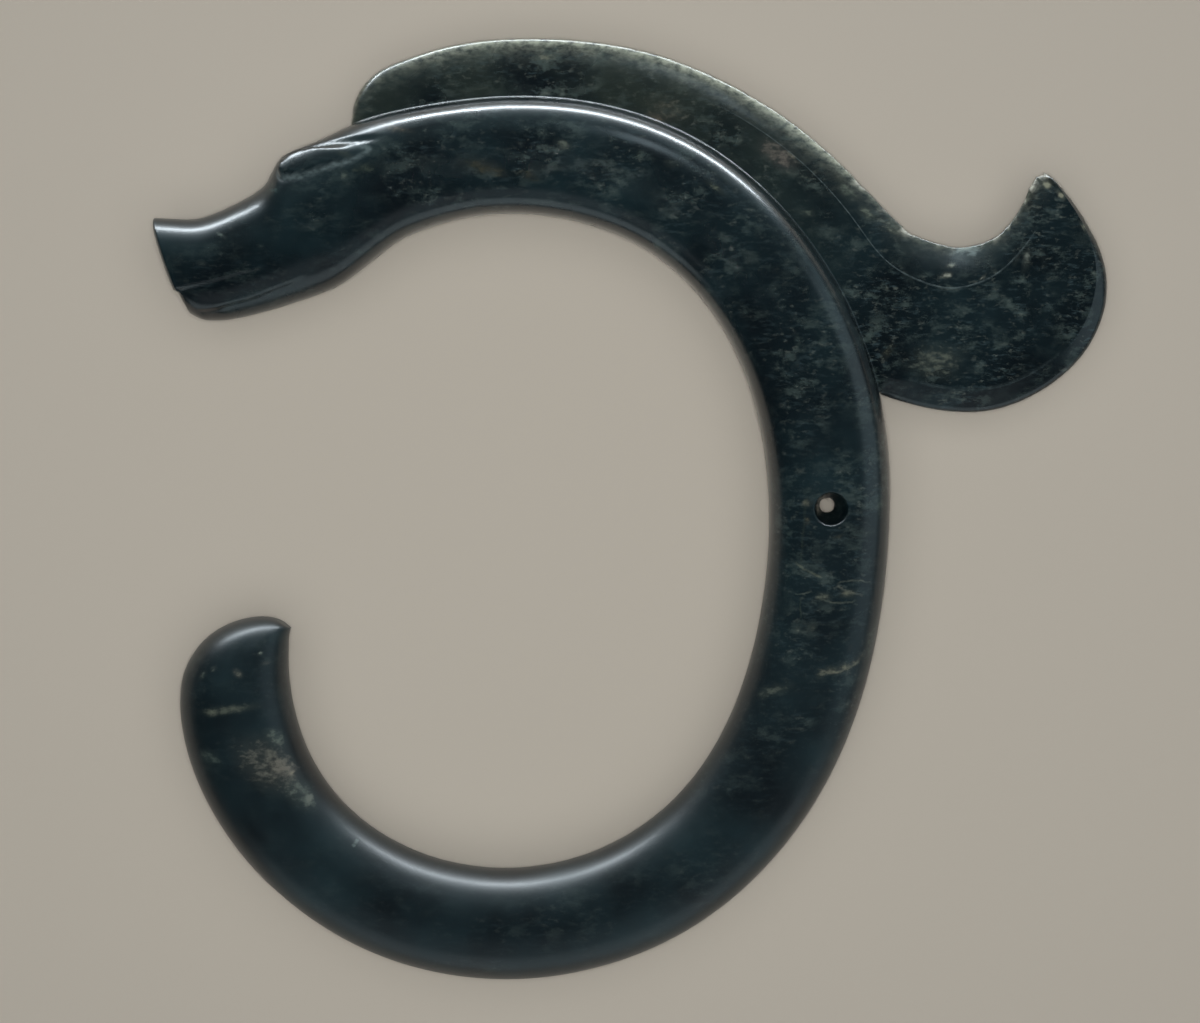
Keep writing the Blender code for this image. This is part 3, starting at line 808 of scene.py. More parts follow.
@dataclass
class Carving:
    """The whole carving as one closed mesh: skin, slot for the mane, mane and hanging hole."""

    skin: Skin = field(default_factory=Skin)
    head_step: float = 0.42
    neck_step: float = 0.9
    body_step: float = 1.75
    hole_step: float = 0.72
    tail_step: float = 0.62
    tail_lead: float = 10.0
    side_columns: int = 64
    spacing_samples: int = 4000
    slot_ease: Span = (12.0, 25.0)
    slot_pull: float = 6.0
    hole_spoke: float = 82.7
    hole_level: float = -0.04
    hole_mouth: float = 4.5
    hole_waist: float = 2.0
    hole_rim: float = 0.45
    hole_cells: int = 6
    hole_blend: float = 2.6
    rim_turn: float = 1.25
    rim_rows: int = 6
    cone_rows: int = 9
    waist_edge: Span = (0.6, 0.05)
    dome: float = 1.55
    dome_power: float = 3.0
    dome_turn: float = 0.55
    dome_rows: int = 7
    cap_step: float = 0.04
    cap_last: float = 0.6
    cap_edge: float = 0.06
    tail_bulge: float = 0.35
    tail_shares: tuple[float, ...] = (0.85, 0.6, 0.3)
    edge_bulge: float = 0.6
    room: tuple[float, float, float] = (0.36, 0.32, 0.06)

    def __post_init__(self) -> None:
        """Prepares the face and the mane, which the rings of the body follow."""
        self.face = Face(self.skin)
        self.mane = Mane(self.skin)
        self.verts: list[np.ndarray] = []
        self.count = 0
        self.faces: list[np.ndarray] = []
        self.marks: dict[Mark, list[np.ndarray]] = {mark: [] for mark in Mark}

    def add_verts(
        self, points: np.ndarray, marks: dict[Mark, np.ndarray | float] | None = None
    ) -> np.ndarray:
        """Stores points.

        Args:
            points: Points in the last axis.
            marks: What the finish has to know about them. What isn't given is 0.

        Returns:
            The number of each point, in the shape of the array without its last axis.
        """
        shape = points.shape[:-1]
        size = int(np.prod(shape))
        numbers = np.arange(self.count, self.count + size).reshape(shape)
        self.verts.append(points.reshape(-1, 3))
        for mark, values in self.marks.items():
            given = (marks or {}).get(mark, 0.0)
            values.append(np.broadcast_to(given, shape).reshape(-1).astype(float))
        self.count += size
        return numbers

    def add_grid(self, numbers: np.ndarray, keep: np.ndarray | None = None) -> None:
        """Stores the four-sided faces of a grid of points.

        Args:
            numbers: The points' numbers, in rows.
            keep: True for each face that stays, or nothing for all.
        """
        quads = np.stack(
            [numbers[:-1, :-1], numbers[1:, :-1], numbers[1:, 1:], numbers[:-1, 1:]], axis=-1
        )
        self.faces.append(quads[keep] if keep is not None else quads.reshape(-1, 4))

    def add_tube(self, rows: list[np.ndarray]) -> None:
        """Stores the faces between closed rings of points, each given by its numbers."""
        grid = np.stack(rows)
        self.add_grid(np.hstack([grid, grid[:, :1]]))

    def sides(self, columns: int) -> tuple[np.ndarray, np.ndarray]:
        """Tells the columns of the upper side from those of the lower one.

        Args:
            columns: How many columns the skin has.

        Returns:
            The columns from the slot over the upper side to the belly, and the mirror image of
            every column.
        """
        slot = self.mane.layers - 1
        return np.arange(slot, slot + self.side_columns + 1), (slot - np.arange(columns)) % columns

    def ring_places(self) -> np.ndarray:
        """Chooses how far along the body each ring lies.

        Returns:
            The places, closest where the carving is finest.
        """
        mane = self.mane.places
        hole = self.skin.place_of_spoke(self.hole_spoke)
        reach = self.hole_step * self.hole_cells * 2
        tail = self.skin.tail_start - self.tail_lead
        stops = (
            (0.0, mane[0], self.head_step),
            (mane[-1], hole - reach, self.neck_step),
            (hole - reach, hole + reach, self.hole_step),
            (hole + reach, tail, self.body_step),
            (tail, self.skin.length, self.tail_step),
        )
        runs = [np.linspace(a, b, max(2, 1 + round((b - a) / step))) for a, b, step in stops]
        return np.concatenate([runs[0][:-1], mane, *(run[1:] for run in runs[1:])])

    def column_angles(self) -> np.ndarray:
        """Chooses the angles of the columns, evenly spaced over the skin outside the slot.

        Returns:
            The angles over the slot, then those on round the upper side, the belly and back.
        """
        middle = float(self.skin.knots[self.skin.first_spoke + 2])
        half = self.mane.thickness / 2 + self.mane.root_fillet
        edge = float(self.skin.angle_at_height(half, middle))
        fine = np.linspace(edge, math.pi, self.spacing_samples)
        place = np.full(fine.shape, middle)
        length = running_length(self.skin.points(place, fine))
        upper = np.interp(np.linspace(0, length[-1], self.side_columns + 1), length, fine)
        slot = np.linspace(-edge, edge, self.mane.layers)
        return np.concatenate([slot, upper[1:], 2 * math.pi - upper[-2:0:-1]])

    def bend_to_slot(self, place: np.ndarray, angle: np.ndarray) -> np.ndarray:
        """Moves the columns beside the back so that two of them follow the slot's edges.

        Args:
            place: Place of each ring.
            angle: Angle of each column.

        Returns:
            Angles as ring, column.
        """
        mane = self.mane
        edge = -angle[0]
        want = self.skin.angle_at_height(mane.root_half(), mane.places)
        lead, trail = self.slot_ease
        before = smoothstep(place, mane.places[0] - lead, mane.places[0])
        after = 1.0 - smoothstep(place, mane.places[-1], mane.places[-1] + trail)
        wanted = np.interp(place, mane.places, want)
        wanted = edge + (wanted - edge) * before * after
        turned = (angle + math.pi) % (2 * math.pi) - math.pi
        size = np.abs(turned)
        inside = np.clip(size / edge, 0.0, 1.0)
        outside = 1.0 - smoothstep(size, edge, self.slot_pull * edge)
        pull = np.where(size <= edge, inside, outside)
        return angle[None] + np.sign(turned)[None] * (wanted - edge)[:, None] * pull[None]

    def open_hole(
        self, place: np.ndarray, angle: np.ndarray
    ) -> tuple[np.ndarray, np.ndarray, dict[str, np.ndarray]]:
        """Bends a square block of the grid into the round mouth of the hanging hole.

        Args:
            place: Places as ring, column.
            angle: Angles as ring, column.

        Returns:
            The bent places and angles, and by name the mouths' rings, their upper and lower
            columns, and which faces of the grid the two mouths take away.
        """
        centre = self.skin.place_of_spoke(self.hole_spoke)
        ring = int(np.argmin(np.abs(place[:, 0] - centre)))
        columns = place.shape[1]
        level = self.skin.level_of_angle(angle, place)
        upper, mirror = self.sides(columns)
        column = int(upper[np.argmin(np.abs(level[ring, upper] - self.hole_level))])
        radius = self.hole_mouth + self.hole_rim
        ends = self.skin.rib_line(centre)[0:4].reshape(2, 2)
        half = float(np.linalg.norm(np.diff(ends, axis=0))) / 2
        rings = np.arange(place.shape[0])[:, None] - ring
        cells = np.arange(columns)[None] - column
        reach_i = rings / self.hole_cells + 0.0 * cells
        reach_j = cells / self.hole_cells + 0.0 * rings
        square = np.maximum(np.abs(reach_i), np.abs(reach_j))
        near = (square < self.hole_blend + 1.0) & (square > 1e-6)
        i, j = reach_i[near], reach_j[near]
        tall = np.abs(j) > np.abs(i)
        turn = np.where(
            tall,
            math.pi / 2 - math.pi / 4 * i / np.where(tall, j, 1.0),
            math.pi / 4 * j / np.where(tall, 1.0, np.where(i == 0, 1.0, i)),
        )
        turn = turn + np.where(np.where(tall, j, i) < 0, math.pi, 0.0)
        ring_size = self.hole_step * self.hole_cells
        circle = radius + (square[near] - 1.0) * ring_size
        x = place[near] - centre
        y = (level[near] - self.hole_level) * half
        ease = smoothstep(square[near], 1.0, self.hole_blend)
        x = (1 - ease) * circle * np.cos(turn) + ease * x
        y = ease * y - (1 - ease) * circle * np.sin(turn)
        new_place = place.copy()
        new_angle = angle.copy()
        new_place[near] = centre + x
        new_angle[near] = self.skin.angle_of_level(self.hole_level + y / half, centre + x)
        new_place[:, mirror[upper]] = new_place[:, upper]
        new_angle[:, mirror[upper]] = 2 * math.pi - new_angle[:, upper]
        new_angle[:, mirror[upper[0]]] = -new_angle[:, upper[0]]
        edge = self.hole_cells
        walk, still = np.arange(-edge, edge), np.full(2 * edge, edge)
        rows = np.concatenate([walk, still, -walk, -still])
        cols = np.concatenate([-still, walk, still, -walk])
        in_rings = np.abs(rings[:-1] + 0.5) < edge
        loop = {
            "ring": ring + rows,
            "upper": column + cols,
            "lower": mirror[column + cols],
            "cells": in_rings & (
                (np.abs(cells + 0.5) < edge) | (np.abs(mirror[None] - 0.5 - column) < edge)
            ),
        }
        return new_place, new_angle, loop

    def raise_relief(
        self, place: np.ndarray, angle: np.ndarray, points: np.ndarray
    ) -> tuple[np.ndarray, np.ndarray]:
        """Carves the face into both sides of the head.

        Args:
            place: Places as ring, column.
            angle: Angles as ring, column.
            points: Points on the plain skin.

        Returns:
            The carved points, and how near each is to a cut line.
        """
        upper, mirror = self.sides(place.shape[1])
        rings = np.arange(np.searchsorted(place[:, 0], self.face.reach))
        block = np.ix_(rings, upper)
        other = np.ix_(rings, mirror[upper[1:-1]])
        patch = points[block]
        steps = np.linalg.norm(np.diff(patch, axis=1), axis=2)
        arc = -np.hstack([np.zeros((len(rings), 1)), np.cumsum(steps, axis=1)])
        for row, ring in enumerate(rings):
            arc[row] -= np.interp(math.pi / 2, angle[ring, upper], arc[row])
        chart = np.stack([place[block], arc], axis=-1).reshape(-1, 2)
        level = self.skin.level_of_angle(angle[block], place[block]).reshape(-1)
        height = self.face.relief(chart, level).reshape(arc.shape)
        normal = unit_rows(np.cross(np.gradient(patch, axis=0), np.gradient(patch, axis=1)))
        middle = rib_middles(self.skin.rib_line(place[block]))
        away = patch - np.concatenate([middle, np.zeros(middle.shape[:-1] + (1,))], axis=-1)
        normal *= np.sign(np.sum(normal * away, axis=-1, keepdims=True))
        carved = patch + normal * height[..., None]
        # The eye's cut outline is painted paler, partly as scuffing and partly as a painted highlight
        # along it.
        outline = self.face.outline(chart).reshape(arc.shape)
        points, line = points.copy(), np.zeros(place.shape)
        points[block], line[block] = carved, outline
        points[other] = carved[:, 1:-1] * np.array([1.0, 1.0, -1.0])
        line[other] = outline[:, 1:-1]
        return points, line

    def build(self) -> None:
        """Makes the skin, the snout's end, the mane, the hole and the tip of the tail."""
        rings = self.ring_places()
        columns = self.column_angles()
        angle = self.bend_to_slot(rings, columns)
        place = np.repeat(rings[:, None], len(columns), axis=1)
        place = place + self.face.jaw_shift(place, self.skin.level_of_angle(angle, place))
        place, angle, hole = self.open_hole(place, angle)
        points = self.skin.points(place, angle)
        points, line = self.raise_relief(place, angle, points)
        numbers = self.add_verts(points, {Mark.LINE: line})
        first = int(np.argmin(np.abs(rings - self.mane.places[0])))
        last = first + self.mane.exit_rib
        keep = ~hole["cells"]
        keep[first:last, : self.mane.layers - 1] = False
        self.add_grid(np.hstack([numbers, numbers[:, :1]]), keep)
        self.close_snout(points[0], numbers[0])
        self.close_tail(points[-1], numbers[-1])
        self.line_hole(hole, numbers)
        self.grow_mane(points, numbers, first)
        log.info("body of %d rings and %d columns", len(rings), len(columns))

    def close_snout(self, ring: np.ndarray, numbers: np.ndarray) -> None:
        """Domes the blunt end of the snout and cuts the mouth and nostrils into it.

        Args:
            ring: The points of the first ring.
            numbers: Their numbers.
        """
        rib = self.skin.rib_line(np.array([0.0, 1.0]))
        across = rib[0, 0:2] - rib[0, 2:4]
        middles = rib_middles(rib)
        half = float(np.linalg.norm(across)) / 2
        outward = unit_rows(np.array([across[1], -across[0]]))
        outward = outward * np.sign(outward @ (middles[0] - middles[1]))
        centre = np.r_[middles[0], 0.0]
        upward = np.r_[unit_rows(across), 0.0]
        facing = np.r_[outward, 0.0]
        plain = self.skin.points(np.zeros(len(ring)), self.column_angles())
        angles = np.linspace(0.0, self.dome_turn, self.dome_rows)[1:]
        shares = np.cos(angles) ** (2 / self.dome_power)
        rest = np.arange(shares[-1] - self.cap_step, self.cap_last * self.cap_step, -self.cap_step)
        rows = [numbers]
        for share in [*shares, *rest, 0.0]:
            flat = centre + share * (plain - centre)
            rise = self.dome * (1.0 - share**self.dome_power) ** 0.5
            aside = (flat - centre) @ upward
            level = aside / half
            cut = self.face.end_relief(aside, flat[:, 2], half)
            held = self.face.jaw_shift(np.zeros(len(level)), level)
            edge = smoothstep(1.0 - share, 0.0, self.cap_edge)
            depth = rise - (edge * cut + (1 - edge) * held)
            points = flat + depth[:, None] * facing
            rows.append(self.add_verts(points if share else points[:1]))
        self.add_tube(rows[:-1])
        self.close_fan(rows[-2], int(rows[-1][0]))

    def close_fan(self, ring: np.ndarray, centre: int) -> None:
        """Closes a ring onto one point with triangles, stored with their last corner repeated.

        Args:
            ring: Numbers of the ring's points.
            centre: Number of the point in the middle.
        """
        following = np.roll(ring, -1)
        middle = np.full(len(ring), centre)
        self.faces.append(np.stack([ring, following, middle, middle], axis=1))

    def close_tail(self, ring: np.ndarray, numbers: np.ndarray) -> None:
        """Rounds off the last small ring of the tail.

        Args:
            ring: The points of the last ring.
            numbers: Their numbers.
        """
        rib = self.skin.rib_line(np.array([self.skin.length - 1.0, self.skin.length]))
        middles = rib_middles(rib)
        ahead = np.r_[unit_rows(middles[1] - middles[0]), 0.0]
        centre = ring.mean(axis=0)
        rows = [numbers]
        for share in self.tail_shares:
            bulge = self.tail_bulge * math.sqrt(1 - share**2) * ahead
            rows.append(self.add_verts(centre + share * (ring - centre) + bulge))
        self.add_tube(rows)
        tip = self.add_verts((centre + self.tail_bulge * ahead)[None])
        self.close_fan(rows[-1], int(tip[0]))

    def line_hole(self, loop: dict[str, np.ndarray], numbers: np.ndarray) -> None:
        """Drills the two cones of the hanging hole between its mouths.

        Args:
            loop: Rings and columns of the mouths' points.
            numbers: The skin's numbers as ring, column.
        """
        upper = numbers[loop["ring"], loop["upper"]]
        lower = numbers[loop["ring"], loop["lower"]]
        rim = np.concatenate(self.verts)[upper]
        place = np.array([self.skin.place_of_spoke(self.hole_spoke)])
        centre = self.skin.points(place, self.skin.angle_of_level(self.hole_level, place))[0, 0:2]
        spokes = unit_rows(rim[:, 0:2] - centre)
        top = rim[:, 2]
        slope = (self.hole_mouth - self.hole_waist) / self.skin.half_depth
        levels: list[tuple[np.ndarray, np.ndarray]] = []
        for turn in np.linspace(0.0, self.rim_turn, self.rim_rows)[1:]:
            radius = self.hole_mouth + self.hole_rim * (1.0 - math.sin(turn))
            levels.append((np.full(len(top), radius), top - self.hole_rim * (1.0 - math.cos(turn))))
        start = levels[-1][1]
        near, softened = self.waist_edge
        for share in np.linspace(1.0, 0.0, self.cone_rows)[1:]:
            height = start * share
            least = self.hole_waist + softened * (height < near)
            levels.append((np.maximum(self.hole_waist + slope * height, least), height))
        rows = [upper]
        for radius, height in [*levels, *((radius, -height) for radius, height in levels[-2::-1])]:
            flat = centre + spokes * radius[:, None]
            rows.append(self.add_verts(np.column_stack([flat, height]), {Mark.STILL: 1.0}))
        self.add_tube([*rows, lower])

    def grow_mane(self, skin_points: np.ndarray, numbers: np.ndarray, first: int) -> None:
        """Grows the mane out of the slot in the skin.

        Args:
            skin_points: The skin's points as ring, column.
            numbers: Their numbers.
            first: The ring that the mane starts at.
        """
        mane = self.mane
        ribs = len(mane.along)
        exit_rib = mane.exit_rib
        top = mane.layers - 1
        roots = mane.ribs[:, 0:2].copy()
        roots[: exit_rib + 1] = skin_points[first : first + exit_rib + 1, top, 0:2]
        flat, half, marks = mane.profile(roots)
        rows = flat.shape[1]
        way = unit_rows(mane.ribs[:, 2:4] - roots)
        run = unit_rows(np.gradient(flat[:, rows // 2], axis=0))
        weights = np.linspace(-1.0, 1.0, mane.layers)
        ball = (1.0 - weights**2)[None, None, :, None] * self.edge_bulge
        solid = np.repeat(flat[:, :, None], mane.layers, axis=2)
        push = np.zeros_like(solid)
        push[:, -1] += (way * half[:, -1, None])[:, None]
        push[exit_rib + 1 :, 0] -= (way * half[:, 0, None])[exit_rib + 1 :, None]
        push[0] -= (run[0] * half[0, :, None])[:, None]
        push[-1] += (run[-1] * half[-1, :, None])[:, None]
        solid = solid + push * ball
        height = half[:, :, None] * weights[None, None]
        solid = np.concatenate([solid, height[..., None]], axis=-1)
        index = np.full((ribs, rows, mane.layers), -1)
        rings = numbers[first : first + exit_rib + 1]
        index[: exit_rib + 1, 0, 0] = rings[:, 0]
        index[: exit_rib + 1, 0, top] = rings[:, top]
        index[0, 0] = rings[0, : mane.layers]
        index[exit_rib, 0] = rings[-1, : mane.layers]
        shell = np.zeros(index.shape, bool)
        for part in (np.s_[:, :, [0, top]], np.s_[:, -1], np.s_[0], np.s_[-1], np.s_[exit_rib:, 0]):
            shell[part] = True
        shell &= index < 0
        layers = np.ones(mane.layers)
        worn = {mark: (values[..., None] * layers)[shell] for mark, values in marks.items()}
        index[shell] = self.add_verts(solid[shell], {Mark.MANE: 1.0, **worn})
        for sheet in (index[:, :, top], index[:, :, 0], index[:, -1], index[0], index[-1],
                      index[exit_rib:, 0]):
            self.add_grid(sheet)
        log.info("mane of %d ribs and %d rows", ribs, rows)

    def mesh(self, unit: float, low: Vector, high: Vector) -> bpy.types.Mesh:
        """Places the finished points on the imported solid's box and makes the mesh.

        Args:
            unit: Metres in one drawn millimetre.
            low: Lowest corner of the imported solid.
            high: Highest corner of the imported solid.

        Returns:
            The closed mesh, with its faces pointing outwards.
        """
        points = np.concatenate(self.verts)
        faces = np.concatenate(self.faces)
        used = np.unique(faces)
        renumber = np.zeros(len(points), int)
        renumber[used] = np.arange(len(used))
        points = points[used]
        middle = (points.min(axis=0) + points.max(axis=0)) / 2
        middle[2] = 0.0
        points = (points - middle) * (1.0 - 2.0 * np.array(self.room) / np.ptp(points, axis=0)) * unit
        points[:, 0] += (low.x + high.x) / 2
        points[:, 1] += (low.y + high.y) / 2
        points[:, 2] += low.z + self.skin.middle_height() * unit
        corners = [list(dict.fromkeys(face)) for face in renumber[faces].tolist()]
        mesh = bpy.data.meshes.new(PIECE)
        mesh.from_pydata(points.tolist(), [], corners)
        for mark, values in self.marks.items():
            layer = mesh.attributes.new(mark.value, "FLOAT", "POINT")
            layer.data.foreach_set("value", np.concatenate(values)[used].astype(np.float32))
        shape = bmesh.new()
        shape.from_mesh(mesh)
        bmesh.ops.recalc_face_normals(shape, faces=shape.faces)
        open_edges = sum(1 for edge in shape.edges if len(edge.link_faces) != 2)
        shape.to_mesh(mesh)
        shape.free()
        mesh.shade_smooth()
        log.info("%d faces, %d open edges", len(corners), open_edges)
        return mesh


def linear(hex_colour: str) -> tuple[float, float, float, float]:
    """Turns an sRGB hex colour into the linear numbers that a shader takes.

    Args:
        hex_colour: Six hex digits.

    Returns:
        Red, green, blue and a full alpha.
    """
    parts = [int(hex_colour[i : i + 2], 16) / 255 for i in (0, 2, 4)]
    made = [c / 12.92 if c <= 0.04045 else ((c + 0.055) / 1.055) ** 2.4 for c in parts]
    return (made[0], made[1], made[2], 1.0)


def add(
    tree: bpy.types.NodeTree, kind: str, feeds: dict | None = None, **settings: object
) -> bpy.types.NodeOutputs:
    """Adds a node with its settings and links.

    Args:
        tree: The node tree.
        kind: The node's type name.
        feeds: Value or output socket for each input, by name or number.
        settings: Values of the node's own properties.

    Returns:
        The node's outputs.
    """
    node = tree.nodes.new(kind)
    for name, value in settings.items():
        setattr(node, name, value)
    for socket, value in (feeds or {}).items():
        if isinstance(value, bpy.types.NodeSocket):
            tree.links.new(value, node.inputs[socket])
        else:
            node.inputs[socket].default_value = value
    return node.outputs


def between(ends: Span, side: str = "From") -> dict[str, float]:
    """The two ends of a range, by the names that Map Range gives its inputs."""
    return {f"{side} Min": ends[0], f"{side} Max": ends[1]}


@dataclass
class HandFinish:
    """The small unevenness that grinding by hand leaves, made by Geometry Nodes.

    Long ripples and small facets catch the light unevenly, and shallow pits lie where grains of
    the stone broke out. Sizes and heights are in drawn millimetres.
    """

    ripple_height: float = 0.22
    ripple_size: float = 24.0
    facet_height: float = 0.035
    facet_size: float = 7.0
    pit_depth: float = 0.07
    pit_size: float = 2.4
    pit_share: float = 0.24
    pit_slope: float = 0.07
    seed: float = 4.0

    def inputs(self, unit: float, material: bpy.types.Material) -> dict[str, object]:
        """Lists the tree's own inputs.

        Args:
            unit: Metres in one drawn millimetre.
            material: The finish.

        Returns:
            The value of each input by its name, which is that of its field.
        """
        sizes = {name.replace("_", " ").title(): value for name, value in asdict(self).items()}
        return {**sizes, "Unit": unit, "Material": material}

    def tree(self, names: dict[str, object]) -> bpy.types.NodeTree:
        """Builds the tree of nodes.

        Args:
            names: The inputs by name, each with its value.

        Returns:
            The tree, with its sizes as named inputs.
        """
        tree = bpy.data.node_groups.new("hand_ground_finish", "GeometryNodeTree")
        for way in ("INPUT", "OUTPUT"):
            tree.interface.new_socket("Geometry", in_out=way, socket_type="NodeSocketGeometry")
        for name, value in names.items():
            kind = "NodeSocketFloat" if isinstance(value, float) else "NodeSocketMaterial"
            tree.interface.new_socket(name, in_out="INPUT", socket_type=kind)
        sizes = add(tree, "NodeGroupInput")
        place = add(tree, "GeometryNodeInputPosition")[0]
        inverse = add(tree, "ShaderNodeMath", {0: 1.0, 1: sizes["Unit"]}, operation="DIVIDE")[0]
        drawn = add(tree, "ShaderNodeVectorMath", {0: place, "Scale": inverse}, operation="SCALE")[0]
        heights = []
        for size, height, detail in (("Ripple Size", "Ripple Height", 1.0),
                                     ("Facet Size", "Facet Height", 0.0),
                                     ("Pit Size", "Pit Depth", 0.0)):
            scale = add(tree, "ShaderNodeMath", {0: 1.0, 1: sizes[size]}, operation="DIVIDE")[0]
            noise = add(tree, "ShaderNodeTexNoise",
                        {"Vector": drawn, "W": sizes["Seed"], "Scale": scale, "Detail": detail},
                        noise_dimensions="4D")[0]
            if height == "Pit Depth":
                least = add(tree, "ShaderNodeMath", {0: sizes["Pit Share"], 1: sizes["Pit Slope"]},
                            operation="SUBTRACT")[0]
                shape = add(tree, "ShaderNodeMapRange",
                            {"Value": noise, "From Min": sizes["Pit Share"], "From Max": least},
                            interpolation_type="SMOOTHSTEP")[0]
            else:
                shape = add(tree, "ShaderNodeMath", {0: noise, 1: 0.5}, operation="SUBTRACT")[0]
            heights.append(add(tree, "ShaderNodeMath", {0: shape, 1: sizes[height]},
                               operation="MULTIPLY")[0])
        still = add(tree, "GeometryNodeInputNamedAttribute", {"Name": Mark.STILL.value},
                    data_type="FLOAT")[0]
        free = add(tree, "ShaderNodeMath", {0: 1.0, 1: still}, operation="SUBTRACT")[0]
        ripple, facet, pit = heights
        rise = ripple
        for operation, value in (("ADD", facet), ("SUBTRACT", pit), ("MULTIPLY", sizes["Unit"]),
                                 ("MULTIPLY", free)):
            rise = add(tree, "ShaderNodeMath", {0: rise, 1: value}, operation=operation)[0]
        normal = add(tree, "GeometryNodeInputNormal")[0]
        push = add(tree, "ShaderNodeVectorMath", {0: normal, "Scale": rise}, operation="SCALE")[0]
        ground = add(tree, "GeometryNodeSetPosition",
                     {"Geometry": sizes["Geometry"], "Offset": push})[0]
        # Nothing is pushed through the table: the flat that the carving rests on stays flat.
        split = add(tree, "ShaderNodeSeparateXYZ", {0: place})
        lifted = add(tree, "ShaderNodeMath", {0: split[2], 1: 0.0}, operation="MAXIMUM")[0]
        flat = add(tree, "ShaderNodeCombineXYZ", {0: split[0], 1: split[1], 2: lifted})[0]
        rested = add(tree, "GeometryNodeSetPosition", {"Geometry": ground, "Position": flat})[0]
        real = add(tree, "GeometryNodeRealizeInstances", {0: rested})[0]
        dressed = add(tree, "GeometryNodeSetMaterial",
                      {"Geometry": real, "Material": sizes["Material"]})[0]
        add(tree, "NodeGroupOutput", {0: dressed})
        return tree

    def apply(
        self, mesh: bpy.types.Mesh, unit: float, material: bpy.types.Material
    ) -> bpy.types.Object:
        """Runs the tree on a mesh and keeps the result as a plain mesh.

        Args:
            mesh: The smooth carving.
            unit: Metres in one drawn millimetre.
            material: The finish.

        Returns:
            The finished piece, linked to the scene.
        """
        rough = bpy.data.objects.new(PIECE + "_rough", mesh)
        bpy.context.scene.collection.objects.link(rough)
        modifier = rough.modifiers.new("finish", "NODES")
        values = self.inputs(unit, material)
        modifier.node_group = self.tree(values)
        for item in modifier.node_group.interface.items_tree:
            if item.in_out == "INPUT" and item.name in values:
                modifier[item.identifier] = values[item.name]
        bpy.context.view_layer.update()
        seen = rough.evaluated_get(bpy.context.evaluated_depsgraph_get())
        finished = bpy.data.meshes.new_from_object(seen)
        bpy.data.objects.remove(rough)
        piece = bpy.data.objects.new(PIECE, finished)
        bpy.context.scene.collection.objects.link(piece)
        return piece


@dataclass
class View:
    """The photograph's own view: a long lens nearly straight above the carving."""

    eye: tuple[float, float, float] = (-23.88, 69.47, 787.11)
    aim: tuple[float, float, float] = (-8.8, 1.0, 12.32)
    lens: float = 84.75
    sensor: float = 36.0
    frame: tuple[int, int] = (1200, 1023)
    clip: Span = (0.01, 20.0)

    def __post_init__(self) -> None:
        """Works out the camera's own axes."""
        self.ahead = (Vector(self.aim) - Vector(self.eye)).normalized()
        self.right = self.ahead.cross(Vector((0.0, 1.0, 0.0))).normalized()
        self.above = self.right.cross(self.ahead)

    def point(self, across: float, down: float, height: float) -> Vector:
        """Finds what a pixel of the photograph shows at a height over the table.

        Args:
            across: Pixels from the photograph's left edge.
            down: Pixels from its top edge.
            height: Height over the table in drawn millimetres.

        Returns:
            The point in drawn millimetres.
        """
        scale = self.sensor / self.frame[0] / self.lens
        ray = (
            self.ahead
            + self.right * ((across - self.frame[0] / 2) * scale)
            + self.above * ((self.frame[1] / 2 - down) * scale)
        )
        return Vector(self.eye) + ray * ((height - self.eye[2]) / ray.z)

    def build(self, unit: float) -> None:
        """Sets up the camera.

        Args:
            unit: Metres in one drawn millimetre.
        """
        data = bpy.data.cameras.new("camera")
        data.lens = self.lens
        data.sensor_width = self.sensor
        data.sensor_fit = "HORIZONTAL"
        data.clip_start, data.clip_end = self.clip
        camera = bpy.data.objects.new("camera", data)
        turn = Matrix((self.right, self.above, -self.ahead)).transposed()
        camera.matrix_world = Matrix.Translation(Vector(self.eye) * unit) @ turn.to_4x4()
        bpy.context.scene.collection.objects.link(camera)
        bpy.context.scene.camera = camera


@dataclass(frozen=True)
class Lamp:
    """One soft rectangular light that faces the carving. The camera never sees it."""

    name: str
    place: tuple[float, float, float]
    size: tuple[float, float]
    watts: float
    colour: str
    shows: Shows = Shows.IN_THE_POLISH

    def build(self) -> None:
        """Hangs the light."""
        data = bpy.data.lights.new(self.name, "AREA")
        data.shape = "RECTANGLE"
        data.size, data.size_y = self.size
        data.energy = self.watts
        data.color = linear(self.colour)[:3]
        light = bpy.data.objects.new(self.name, data)
        light.location = self.place
        light.rotation_euler = (-Vector(self.place)).to_track_quat("-Z", "Y").to_euler()
        light.visible_glossy = self.shows is Shows.IN_THE_POLISH
        light.visible_diffuse = self.shows is Shows.ON_SURFACES
        light.visible_camera = False
        bpy.context.scene.collection.objects.link(light)


